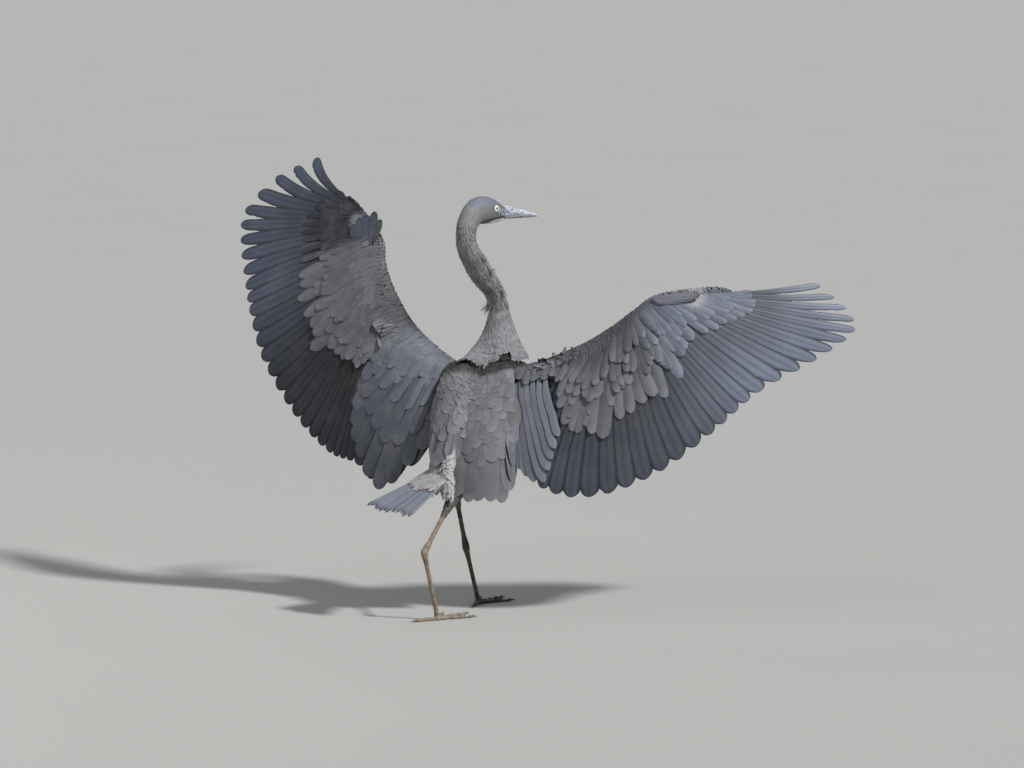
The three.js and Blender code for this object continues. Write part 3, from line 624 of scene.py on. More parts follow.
# The body's outside: an egg-shaped ring across the line, deeper to the back or to the breast.
def bodyShape(angle, key):
    y, z, halfWidth, back, breast = np.moveaxis(bodyLine(key), -1, 0)
    ahead = unit((bodyLine(key + 0.05) - bodyLine(key - 0.05))[..., :2])
    depth = np.where(np.sin(angle) > 0, back, breast) * np.sin(angle)
    return np.stack([np.cos(angle) * halfWidth, y - ahead[..., 1] * depth, z + ahead[..., 0] * depth], -1)


bodySurface = surfaced(bodyShape, 0.02, 0.02, -1)
coatDepth = curve([  # how far the skin lies under the coat
    (0, 4), (1, 6), (4, 6.5), (5, 6.5), (6, 6), (7, 5), (9, 4.5), (10.5, 3.4), (11.3, 2.3), (12, 1.7),
    (13, 1.4), (14.5, 0.9)])
lineKeys = np.linspace(0, 14.5, 600)
lineMm = mmAlong(bodyLine(lineKeys)[:, :2])  # the way along the line up to each key

# The legs' joints, and the thighs' rows: share of the way from knee to ankle, half width, half depth
legs = {
    "right": {"side": 1, "knee": (46, 2, 374), "ankle": (25, -160, 172), "foot": (25, -106, 0), "turn": 0.0},
    "left": {
        "side": -1, "knee": (-48, 32, 400), "ankle": (-32, 88, 152), "foot": (-52, 166, 0), "turn": 0.06},
}
thighRows = [
    (-0.08, 14, 18), (0.02, 26, 36), (0.14, 27, 38), (0.28, 21, 27), (0.42, 14, 17), (0.52, 9.5, 11),
    (0.6, 7.0, 7.6)]


# A limb's outside: from one joint to the next, with a radius to the side and one to the front.
def limbShape(start, end, radii):
    start, end = np.array(start, float), np.array(end, float)
    run = end - start
    front = unit(np.cross(unit(run), np.array([1.0, 0, 0])))
    side = unit(np.cross(front, run))
    width = keyed(radii)

    def shape(angle, share):
        wide, deep = np.moveaxis(width(share), -1, 0)
        return moved(
            start, (run, np.asarray(share)), (side, np.cos(angle) * wide), (front, np.sin(angle) * deep))
    return shape


# Along a wing, feather numbers run from the tertials (0 to 4) and secondaries (5 to 20) to the
# primaries (21 to 30). Rows of places are a number and x, y, z; other rows a number and its value.
wings = {
    "left": {
        "side": -1,
        "front": [
            (0, -92, 122, 612), (2, -133, 95, 649), (5, -168, 52, 704), (10, -191, 10, 785),
            (15, -222, 12, 853), (20, -231, 15, 912), (24, -285, 33, 960), (28, -347, 56, 1000),
            (30, -382, 74, 1012)],
        "quill": [
            (0, -90, 104, 590), (4, -207, 12, 652), (5, -232, -4, 676), (12, -243, -1, 788),
            (20, -245, 9, 904), (21, -256, 12, 920), (30, -384, 74, 1002)],
        "tip": [
            (0, -118, -8, 362), (2, -208, -28, 302), (4, -284, -25, 352), (8, -360, -44, 380),
            (12, -436, -86, 472), (16, -508, -123, 612), (19, -553, -115, 725), (21, -597, -76, 783),
            (24, -700, 32, 888), (26, -737, 98, 963), (28, -675, 150, 1047), (30, -565, 170, 1096)],
        "coverts": [(0, 0.5), (5, 0.56), (12, 0.6), (20, 0.56), (22, 0.5), (27, 0.36), (30, 0.24)],
        "camber": [(0, 0.05), (10, 0.07), (20, 0.06), (30, 0.05)],
        "bow": [(0, 0), (10, 0.02), (20, 0.03), (30, 0.07)],
        "thumb": {
            "root": [(-248, 0, 903), (-256, -6, 897), (-270, -11, 894), (-283, -15, 896), (-299, -14, 904)],
            "tip": [(-233, 12, 959), (-257, 18, 978), (-282, 16, 970), (-302, 12, 963), (-313, 2, 948)],
            "halfWidth": 13.5, "rise": 2.0, "tone": (58, 62, 74)},
        "wrist": {"place": (-318, 24, 962), "reach": 24, "share": 0.45},  # the pale spot
    },
    "right": {
        "side": 1,
        "front": [
            (0, 92, 156, 606), (2, 149, 170, 623), (5, 242, 188, 662), (10, 314, 213, 708),
            (15, 373, 240, 756), (20, 417, 266, 791), (24, 478, 313, 804), (28, 530, 360, 809),
            (30, 551, 379, 804)],
        "quill": [
            (0, 88, 131, 586), (4, 232, 162, 603), (5, 262, 173, 616), (12, 346, 219, 695),
            (20, 414, 261, 771), (21, 428, 271, 778), (30, 550, 378, 795)],
        "tip": [
            (0, 129, 44, 411), (4, 173, 46, 359), (6, 220, 55, 323), (8, 286, 84, 302), (10, 366, 136, 312),
            (13, 467, 221, 368), (16, 552, 305, 455), (20, 634, 399, 557), (23, 724, 501, 628),
            (26, 787, 583, 700), (28, 763, 577, 756), (30, 711, 542, 811)],
        "coverts": [(0, 0.5), (5, 0.56), (12, 0.6), (20, 0.52), (22, 0.46), (27, 0.36), (30, 0.24)],
        "camber": [(0, 0.03), (10, 0.08), (20, 0.07), (30, 0.05)],
        "bow": [(0, 0), (10, 0.02), (20, 0.02), (30, 0.03)],
        "thumb": {"root": [(413, 250, 783), (419, 250, 778), (425, 250, 774), (434, 253, 770)],
                  "tip": [(502, 318, 797), (512, 316, 792), (504, 310, 784), (492, 303, 777)],
                  "halfWidth": 5.5, "rise": 1.0, "tone": (96, 97, 106)},
        "wrist": {"place": (500, 313, 790), "reach": 27, "share": 0.85},
    },
}
armRows = np.array([(0.0, 1.5, 1.5), (0.12, 8.0, 7.0), (0.28, 11.0, 9.0), (0.5, 8.0, 4.5), (0.75, 4.5, 2.4),
                    (1.0, 1.3, 1.3)])  # reach, height over the middle, depth under it
armThickness = curve([(-1, 1.9), (2, 1.5), (5, 1.25), (12, 1.05), (20, 1.0), (25, 0.7), (31, 0.4)])
boneShare = 0.28  # the reach where the quills leave the bone


# The sheet that a wing's feathers lie in: from the quill line straight to the tip line, raised by
# 4 s (1 - s) of the length times camber, and swept outwards by the same curve times bow.
def wingSheet(wing):
    front, quill, tip = keyed(wing["front"]), keyed(wing["quill"]), keyed(wing["tip"])
    coverts, camber, bow = (curve(wing[row]) for row in ("coverts", "camber", "bow"))
    side = wing["side"]

    def axes(key):
        root = quill(key)
        run = tip(key) - root
        along = quill(key + 0.5) - quill(key - 0.5) + tip(key + 0.5) - tip(key - 0.5)
        up = unit(np.cross(run, along) * side)
        out = unit(np.cross(up, run) * -side)
        return root, run, up, out, np.linalg.norm(run, axis=-1)

    def point(key, share, height=0.0):
        root, run, up, out, length = axes(key)
        arch = 4 * share * (1 - share) * length
        return moved(
            root, (run, share), (up, arch * camber(key)), (out, arch * bow(key)), (up, np.asarray(height)))

    def arm(key, reach, face):  # upper (1) or lower (-1) side of the fleshy arm
        key, reach = np.broadcast_arrays(np.asarray(key, float), np.asarray(reach, float))
        share = (reach - boneShare) / (1 - boneShare) * coverts(key)
        before = mix(front(key), quill(key), (reach / boneShare)[..., None])
        middle = np.where((reach < boneShare)[..., None], before, point(key, share))
        height = np.interp(reach, armRows[:, 0], armRows[:, 1 if face > 0 else 2])
        scale = np.where((reach > 0) & (reach < 1), armThickness(key), 1)
        return middle + axes(key)[2] * (face * height * scale)[..., None]
    return {"axes": axes, "point": point, "arm": arm, "side": side}


sheets = {name: wingSheet(wing) for name, wing in wings.items()}


# Skin: shells for body, arms and thighs, under the feathers, fused into one surface from vent to bill.
def buildSkin():
    angle = np.linspace(0, 2 * np.pi, 49)[:-1]
    key = np.linspace(0.05, 14.45, 230)
    points, normals = bodySurface(angle[None, :], key[:, None] + 0 * angle[None, :])
    shells = [shell(points - normals * (coatDepth(key) + 0.3)[:, None, None])]
    for name, sheet in sheets.items():
        share = np.concatenate([np.linspace(0.01, 1, 22), np.linspace(1, 0.01, 22)])
        upper = np.arange(44) < 22
        number = np.linspace(-0.4, 30.3, 90)
        reach = share * np.interp(number, [0, 5, 10, 30], [0.38, 0.42, 0.55, 0.6])[:, None]
        over = sheet["arm"](number[:, None], reach, 1)
        under = sheet["arm"](number[:, None], reach, -1)
        centre = (over + under) / 2
        grid = centre + (np.where(upper[None, :, None], over, under) - centre) * 0.72
        shells.append(shell(grid))
        leg = legs[name]
        thinner = [(s, max(a - 3.2, 4.6), max(b - 3.6, 5.0)) for s, a, b in thighRows]
        thigh = limbShape(leg["knee"], leg["ankle"], thinner)
        share = np.linspace(-0.06, 0.6, 40)
        shells.append(shell(thigh(angle[None, ::2], share[:, None] + 0 * angle[None, ::2])))
    points, quads, tris = joined(shells)
    skin = makeMesh("skin", points, quads, tris)
    fuse = skin.modifiers.new("fuse", "REMESH")
    fuse.mode = "VOXEL"
    fuse.voxel_size = 0.003
    fuse.use_smooth_shade = True
    graph = bpy.context.evaluated_depsgraph_get()
    fused = bpy.data.meshes.new_from_object(skin.evaluated_get(graph))
    skin.modifiers.clear()
    skin.data = fused
    skin.data.name = "skin"
    place = np.empty(len(fused.vertices) * 3, np.float32)
    fused.vertices.foreach_get("co", place)
    inMm = place.reshape(-1, 3) * 1000 - hipsAt
    tone = bodyTone(inMm, np.full(len(inMm), 0.5), "down")
    addValues(fused, "plumeTone", opaque(tone))
    return skin


def skinMaterial():  # the skin's own colour with a fine fuzz
    material, n, inputs = newMaterial("downySkin", 0.85, 0.2)
    fuzz = n.noise(n.place(), 900.0, 4.0, 0.7)
    shade = n.grey(n.between(fuzz, 0.25, 0.75, 0.62, 1.12, "LINEAR"))
    n.put(inputs["Base Color"], n.blend(1.0, n.value("plumeTone", "Color"), shade, "MULTIPLY"))
    addBump(n, inputs, fuzz, 0.6, 0.0008)
    return material


# Roots of body feathers, as angle and key: a ring every rowMm along the line, staggered, with a
# feather about every gapMm round it, and some chance in both.
def ringRows(fromKey, toKey, rowMm, gapMm, rng):
    start, end = np.interp([fromKey, toKey], lineKeys, lineMm)
    places = np.arange(start, end, rowMm)
    keys = np.interp(places, lineMm, lineKeys)
    rows = []
    for i, key in enumerate(keys):
        _, _, wide, back, breast = bodyLine(key)
        around = 2 * np.pi * np.sqrt((wide ** 2 + ((back + breast) / 2) ** 2) / 2)
        count = max(int(around / gapMm), 6)
        angle = (np.arange(count) + 0.5 * (i % 2) + rng.uniform(-0.25, 0.25, count)) / count * 2 * np.pi
        rows.append(pair(angle, np.full(count, key)))
    rows = np.concatenate(rows)
    rows[:, 1] += rng.normal(0, 0.16 * rowMm, len(rows)) * keyPerMm(rows[:, 1])
    return rows


def keyPerMm(key):  # how much the key grows in one mm along the line
    mm = np.interp(key, lineKeys, lineMm)
    return (np.interp(mm + 1, lineMm, lineKeys) - np.interp(mm - 1, lineMm, lineKeys)) / 2


def towardsVent(root, length, sway, rng):  # tips length mm nearer the vent, turned a little by chance
    tip = root.copy()
    tip[:, 1] -= length * keyPerMm(root[:, 1])
    tip[:, 0] += rng.normal(0, sway, len(root))
    return tip


def bodySpots(root):  # angle across the map, key up it
    return pair((root[:, 0] % (2 * np.pi)) / (2 * np.pi), root[:, 1] / 14.6) * 0.96 + 0.02


bodyCoat = {"rowMm": 8.0, "gapMm": 8.0, "length": 26.0, "halfWidth": 6.2, "seed": 11}


def buildBodyCoat():  # the back's feathers in one piece, the underside's in another
    rng = np.random.default_rng(bodyCoat["seed"])
    root = ringRows(0.25, 5.3, bodyCoat["rowMm"], bodyCoat["gapMm"], rng)
    count = len(root)
    onBack = eased(0.1, 0.75, np.sin(root[:, 0])) * eased(1.2, 2.6, root[:, 1])  # smaller there, like scales
    length = bodyCoat["length"] * (1 - 0.28 * onBack) * rng.uniform(0.85, 1.15, count)
    tip = towardsVent(root, length, 0.05, rng)
    depth = coatDepth(root[:, 1])
    high = rng.uniform(-0.4, 1.2, count) - 1.2
    halfWidth = bodyCoat["halfWidth"] * (1 - 0.25 * onBack) * rng.uniform(0.85, 1.15, count)
    back = np.sin(root[:, 0]) > 0
    for name, mine in (("backFeathers", back), ("breastFeathers", ~back)):
        group = layFeathers(
            bodySurface, "covert", root[mine], tip[mine], halfWidth[mine], (-depth + 0.4)[mine], high[mine],
            roundVane, bodyTone, bodySpots(root[mine]), rng, arch=0.3)
        featherPiece(name, [group], "body", "body_feathers")


def neckTone(points, chance):  # the neck's grey, and the head's from the nape upwards
    colour = bodyTone(points, chance, "neck", 0.3)
    crown = eased(955, 1005, points[..., 2]) * eased(60, 100, points[..., 1])
    return mix(colour, linear(plumage["head"]) * (0.9 + 0.2 * chance[..., None]), crown[..., None])


neckCoat = {"rowMm": 3.8, "gapMm": 3.8, "length": 17.0, "halfWidth": 2.2, "seeds": {"Low": 22, "High": 23}}
neckTufts = [  # key, angle, plumes, length, how far they stand off
    (9.05, 6.0, 22, 34, 4), (8.75, 5.95, 16, 32, 7), (8.2, 6.1, 8, 30, 15), (7.45, 6.15, 10, 30, 5),
    (7.3, 0.05, 6, 34, 17), (6.75, 2.75, 22, 38, 20), (6.6, 3.0, 16, 34, 26), (7.7, 2.9, 9, 24, 5),
    (6.7, 5.9, 8, 30, 6)]


# One length of the neck: fine pointed plumes, a few of them loose, and the tufts that stand off it.
def buildNeckCoat(name, fromKey, toKey):
    rng = np.random.default_rng(neckCoat["seeds"][name])
    root = ringRows(fromKey, toKey, neckCoat["rowMm"], neckCoat["gapMm"], rng)
    count = len(root)
    longer = np.interp(root[:, 1], [5.6, 7, 10.5], [1.5, 1.15, 0.75])
    tip = towardsVent(root, neckCoat["length"] * rng.uniform(0.75, 1.3, count) * longer, 0.09, rng)
    depth = coatDepth(root[:, 1])
    loose = rng.uniform(-0.6, 0.9, count) + (rng.random(count) < 0.03) * rng.uniform(1, 6, count)
    loose = loose * np.interp(root[:, 1], [6, 8.5, 10], [1, 1, 0.25])
    group = layFeathers(
        bodySurface, "fine", root, tip, neckCoat["halfWidth"] * rng.uniform(0.7, 1.25, count), -depth + 0.3,
        -1.2 + rng.uniform(-1.1, 1.2, count), lanceVane, neckTone, bodySpots(root), rng, arch=0.3,
        thickness=0.18, curl=loose)
    groups = [group]
    for key, angle, number, reach, lift in neckTufts:
        if fromKey < key < toKey:
            root = pair(angle + rng.normal(0, 0.13, number), key + rng.normal(0, 0.06, number))
            tip = towardsVent(root, reach * rng.uniform(0.7, 1.1, number), 0.12, rng)
            groups.append(layFeathers(
                bodySurface, "small", root, tip, rng.uniform(1.2, 2.4, number), -3.0, 0.5, lanceVane,
                neckTone, bodySpots(root), rng, arch=0.3, thickness=0.18,
                curl=lift * rng.uniform(0.5, 1.1, number)))
    featherPiece("neckFeathers" + name, groups, "neck", "neck_feathers")


# The cowl: long loose feathers from the foot of the neck. Over the back they make a free cape, whose
# rows end at the shares that tips gives, from the neck 0 to the free edge 1.
cowlTips = [0.16, 0.24, 0.32, 0.39, 0.46, 0.53, 0.59, 0.65, 0.71, 0.76, 0.81, 0.86, 0.9, 0.94, 0.97, 1.0]
cowl = {"halfWidth": 3.8, "across": 60, "tips": cowlTips, "seed": 31}
capeEdge = keyed([  # left shoulder to right: place of the free edge
    (0.0, -72, 66, 584), (0.12, -58, 66, 596), (0.24, -40, 68, 616), (0.36, -20, 76, 620), (0.46, 2, 82, 612),
    (0.54, 22, 86, 602), (0.6, 34, 88, 592), (0.66, 44, 94, 598), (0.73, 56, 108, 608), (0.8, 70, 124, 616),
    (0.88, 86, 140, 618), (1.0, 110, 158, 622)])
capeFoot = np.array([(-75, 583), (-40, 613), (0, 615), (30, 599), (60, 606), (110, 620.0)])  # x and z of it


def paintedShadeUnderCape(points):  # 1 where painted shade darkens the feathers below the cape's edge
    x, y, z = np.moveaxis(points, -1, 0)
    foot = np.interp(x, *capeFoot.T)
    deep = np.interp(x, [-60, 0, 30, 70], [30, 28, 22, 14])
    lowAndHigh = eased(foot - deep, foot - 0.6 * deep, z) * eased(foot + 45, foot + 25, z)
    return lowAndHigh * eased(200, 150, y) * eased(40, 60, y)


# The cape: for each place round the nape a curve that leaves the neck along it and bends out to
# the free edge, (1 - s)^2 neck + 2 s (1 - s) nape + s^2 edge.
def capeShape(place, s):
    angle = mix(3.7, -0.55, place)
    neck, nape = bodyShape(angle, 6.25 + 0 * angle), bodyShape(angle, 5.3 + 0 * angle)
    share = s[..., None]
    return neck * (1 - share) ** 2 + nape * 2 * share * (1 - share) + capeEdge(place) * share ** 2


def cowlTone(points, chance):  # the neck's grey, browner towards the free edge
    low = eased(715, 640, points[..., 2])
    colour = mix(linear(plumage["neck"]), linear(plumage["cowl"]), low[..., None])
    return colour * (1 + 0.16 * ripple(points, 26, 19) + 0.16 * (chance - 0.5))[..., None]


def buildCowl():
    rng = np.random.default_rng(cowl["seed"])
    surface = surfaced(capeShape, 0.01, 0.01, -1)
    groups = []
    for row, tipAt in enumerate(cowl["tips"]):
        count = cowl["across"]
        place = (np.arange(count) + 0.5 * (row % 2) + rng.uniform(-0.3, 0.3, count)) / count
        end = tipAt + rng.uniform(-0.03, 0.035, count)
        keep = ~((np.abs(place - 0.76) < 0.075) & (end > 0.8))  # a hole beside the ruffled tuft
        place, end = place[keep], end[keep]
        count = len(end)
        ruffled = np.exp(-((place - 0.63) / 0.05) ** 2) * end ** 2
        root = pair(place, np.maximum(end - rng.uniform(0.2, 0.27, count), 0.0))
        tip = pair(place + rng.normal(0, 0.012, count), end)
        spots = pair(place, root[:, 1]) * 0.44 + [0.52, 0.02]
        wide = cowl["halfWidth"] * (0.5 + 0.8 * end) * rng.uniform(0.8, 1.2, count)
        free = tipAt > 0.9  # only the last rows are long and pointed
        high = rng.uniform(-0.2, 1.0, count)
        curl = rng.uniform(-0.4, 0.9 + 2.0 * free, count) + ruffled * rng.uniform(2, 12, count)
        groups.append(layFeathers(
            surface, "small", root, tip, wide, -3.2, high, lanceVane if free else roundVane, cowlTone, spots,
            rng, arch=0.12, thickness=0.2, curl=curl, rise=0.8))
    root = ringRows(4.6, 6.6, 4.6, 4.4, rng)  # the breast side lies close
    root = root[np.sin(root[:, 0]) < 0.35]
    count = len(root)
    tip = root.copy()
    tip[:, 1] -= rng.uniform(30, 44, count) * keyPerMm(root[:, 1])
    depth = coatDepth(root[:, 1])
    wide = cowl["halfWidth"] * rng.uniform(0.8, 1.3, count)
    groups.append(layFeathers(
        bodySurface, "small", root, tip, wide, -depth * 0.8, rng.uniform(-2.5, 1.0, count), lanceVane,
        neckTone, bodySpots(root) * [0.48, 1], rng, arch=0.35))
    featherPiece("cowlFeathers", groups, "neck", "neck_feathers")


headCoat = {"rowMm": 2.2, "gapMm": 2.1, "length": 7.5, "halfWidth": 1.35, "seed": 41}


def headTone(points, chance):  # bluish crown, a painted shadow line along the jaw, pale chin under it
    y, z = points[..., 1], points[..., 2]
    colour = mix(linear(plumage["head"]), linear(plumage["crown"]), eased(996, 1012, z)[..., None])
    jaw = np.interp(y, [100, 150, 210], [961, 966, 969.5])
    colour = mix(colour, linear(plumage["chin"]), (eased(jaw, jaw - 3, z) * eased(116, 140, y))[..., None])
    # the dark line is a painted shadow along the head's lower border
    line = np.exp(-((z - jaw - 1.5) / 2.8) ** 2) * eased(96, 116, y)
    colour = mix(colour, linear(plumage["jaw"]), line[..., None])
    return colour * (1 + 0.16 * ripple(points, 12, 9) + 0.26 * (chance - 0.5))[..., None]


def offTheLores(root):  # True where feathers grow
    sideways = np.abs(np.cos(root[:, 0]))
    height = np.sin(root[:, 0])
    bare = (root[:, 1] > 12.95) & (height > -0.36) & (height < 0.34) & (sideways > 0.6)
    return ~bare & (fromEye(root) > 7.4)


def fromEye(root):  # seen from the side, the way to the eye's middle
    place = bodyShape(root[:, 0], root[:, 1])
    return np.hypot(place[:, 1] - eye["y"], place[:, 2] - eye["z"])


# Tiny feathers from the bill back over crown and cheeks; none on the lores, and none across the eye.
def buildHeadCoat():
    rng = np.random.default_rng(headCoat["seed"])
    root = ringRows(10.5, 14.32, headCoat["rowMm"], headCoat["gapMm"], rng)
    root = root[offTheLores(root)]
    count = len(root)
    shorter = np.interp(root[:, 1], [10.5, 12, 13.2, 14.3], [1.4, 1.05, 0.7, 0.5])
    tip = towardsVent(root, headCoat["length"] * rng.uniform(0.8, 1.2, count) * shorter, 0.04, rng)
    depth = coatDepth(root[:, 1])
    clear = fromEye(tip) >= 6.7
    wide = headCoat["halfWidth"] * rng.uniform(0.8, 1.2, count)
    high = -0.25 * depth + rng.uniform(-0.2, 0.25, count)
    group = layFeathers(
        bodySurface, "fine", root[clear], tip[clear], wide[clear], (-depth + 0.2)[clear], high[clear],
        roundVane, headTone, bodySpots(root[clear]), rng, arch=0.25, thickness=0.12)
    featherPiece("headFeathers", [group], "head", "head_feathers")


# The wing's coverts. greater and median give the reach of their rows' tips for feather numbers, and
# reach 1 is the coverts' edge; raised is from, to and how high the wind lifts the median row; tuft is
# from, to, near, far and how many ruffled feathers; hand is where the hand's colour begins and is full.
# shade darkens the greater and median rows, a painted shade; fade paints shade on each covert's covered root,
# and the hand's rim value paints shade on the hand coverts' rims
covertPlan = {
    "left": {
        "greater": [
            (-1, 0.6), (4, 0.58), (6, 0.6), (8, 0.68), (10, 0.8), (12, 0.9), (14, 0.97), (16, 1.02),
            (20, 1.02), (22, 0.98), (27, 1.0), (30, 1.0)],
        "median": [
            (-1, 0.5), (4, 0.47), (6, 0.48), (8, 0.52), (10, 0.58), (12, 0.68), (14, 0.77), (16, 0.8),
            (18, 0.78), (20, 0.72), (22, 0.52), (27, 0.46), (30, 0.5)],
        "raised": (9.5, 19.5, 6.0), "secondRow": False, "tuft": (4.6, 6.6, 0.16, 0.34, 9), "lesserRows": 16,
        "widths": (0.68, 0.64), "handHeight": 1.8, "loose": 1.0, "handEdge": -0.8, "fade": 0.3,
        "hand": (20.3, 21.7), "handColour": "handDark", "lesserHand": 0.95, "lesser": "covert",
        "elbow": 0.0, "shade": (0.86, 0.86), "innerColour": "innerBlade", "innerShare": 0.7, "spread": 0.3,
    },
    "right": {
        "greater": [(-1, 0.46), (3, 0.5), (4, 0.62), (6, 0.9), (8, 1.0), (10, 1.0), (12, 0.95), (13, 0.92),
                    (15, 0.9), (16, 0.87), (18, 0.84), (20, 0.82), (24, 0.9), (30, 1.0)],
        "median": [
            (-1, 0.32), (3, 0.34), (4, 0.45), (6, 0.62), (8, 0.72), (10, 0.7), (12, 0.64), (14, 0.66),
            (16, 0.62), (18, 0.58), (20, 0.54), (24, 0.5), (30, 0.6)],
        "raised": (5.5, 17.0, 9.0), "secondRow": True, "tuft": (1.6, 4.2, 0.04, 0.26, 18), "lesserRows": 16,
        "widths": (0.78, 0.74), "handHeight": 1.1, "loose": 1.6, "handEdge": -0.15, "fade": 0.6,
        "hand": (13, 19), "handColour": "handGrey", "lesserHand": 0.75, "lesser": "forearm",
        "elbow": 0.5, "shade": (0.84, 1.0), "innerColour": "tertial", "innerShare": 0.45, "spread": 0.42,
    },
}


def wingSpots(root, face):  # number across the map, reach up it; undersides on top
    half = 0.0 if face > 0 else 0.5
    return pair((root[:, 0] + 1) / 32.5 * 0.96 + 0.02, half + 0.01 + np.clip(root[:, 1], 0, 1.05) * 0.45)


# Feather numbers spaced evenly in mm along the wing at the reach that tips gives.
def evenNumbers(surface, tips, gap, shift, first=-0.4, last=30.3):
    line = np.linspace(first, last, 400)
    mm = mmAlong(surface(line, tips(line))[0])
    return np.interp((np.arange(int(mm[-1] / gap)) + shift) * gap, mm, line)


# A covert's colour: its row's own, darker by painted shade on the greater and median rows, mixed
# with the hand's outwards and with the inner feathers' inwards, lighter near the wrist, with a soft
# noise and a step for each feather.
def covertTone(name, kind, numbers):
    plan, wrist = covertPlan[name], wings[name]["wrist"]
    numbers = numbers[:, None]
    lesser = kind == "lesser"
    base = linear(plumage[plan["lesser"] if lesser else kind])
    if lesser:
        base = mix(base, linear(plumage["median"]), eased(9, 4, numbers) * plan["elbow"])
    base = mix(base, linear(plumage[plan["handColour"]]),
               eased(*plan["hand"], numbers) * (plan["lesserHand"] if lesser else 0.95))
    if not lesser:
        base = base * mix(*plan["shade"], eased(13, 19, numbers))
    base = mix(base, linear(plumage[plan["innerColour"]]), eased(7, 3, numbers) * plan["innerShare"])
    spread = np.where(numbers > 20, 0.14, 0.16 if lesser else plan["spread"])

    def tone(points, chance):
        away = np.linalg.norm(points - np.array(wrist["place"], float), axis=-1)
        near = np.exp(-(away / wrist["reach"]) ** 4) * wrist["share"]
        colour = mix(base[:, None], linear(plumage["handPale"]), near[..., None])
        return colour * (1 + 0.12 * ripple(points, 40, 13) + spread * (chance - 0.5))[..., None]
    return tone


def shortened(tips, share):  # the same tips at a share of their reach
    def at(numbers):
        return tips(numbers) * share
    return at


def armSide(sheet, face):  # the arm's upper (1) or under (-1) side as a surface
    def side(key, reach):
        return sheet["arm"](key, reach, face)
    return surfaced(side, 0.1, 0.01, -face * sheet["side"])


# One row of coverts: each ends at the tips' reach and begins length before it, with some chance in
# both, less of it on the hand.
def covertRow(name, surface, kind, numbers, tips, length, wide, form, low, high, lift, face, rng, blunt=1.9):
    plan, side = covertPlan[name], sheets[name]["side"]
    count = len(numbers)
    onHand = numbers > 20.4
    freedom = 0.5 if kind == "lesser" else plan["loose"] if face > 0 else 1.0
    loose = np.where(numbers > 18, 0.35, 1.0) * freedom
    end = np.maximum(tips(numbers) + rng.normal(0, 0.03, count) * loose, 0.055)
    root = pair(numbers, np.maximum(end - length, -0.01))
    tip = pair(numbers + rng.normal(0, 0.28, count) * loose, end)
    tone = covertTone(name, kind, numbers) if face > 0 else plainTone("under")
    wide = wide * (1 + rng.uniform(-0.2, 0.2, count) * np.maximum(loose, 0.6))
    high = high + rng.uniform(-0.3, 0.6, count) * loose
    tilt = side * 0.9 + rng.normal(0, 0.5, count) * loose
    return layFeathers(
        surface, form, root, tip, wide, low, high, evenVane, tone, wingSpots(root, face), rng, arch=0.2,
        tilt=tilt, thickness=0.3, curl=lift, blunt=blunt, edge=np.where(onHand, plan["handEdge"], -0.1),
        fade=np.where(numbers > 17, 0.1, plan["fade"]))


# A greater row has one feather to a number, as wide as share of the space between two numbers, and
# on the hand narrower; slim holds that share and the most that any is wide.
def greaterRow(name, surface, numbers, tips, length, share, slim, low, high, most, face, rng):
    ends = [surface(numbers + d, tips(numbers))[0] for d in (-0.5, 0.5)]
    spacing = np.linalg.norm(ends[1] - ends[0], axis=-1)
    onArm = (numbers < 17) * (numbers > 5)
    lifted = rng.uniform(0, 1, len(numbers)) ** 2 * (most if face > 0 else 1) * onArm
    wide = np.clip(spacing * share, 4, slim[1]) * np.where(numbers > 20.4, slim[0], 1.0)
    return covertRow(
        name, surface, "greater", numbers, tips, length, wide, "long", low, high, lifted, face, rng, 1.7)


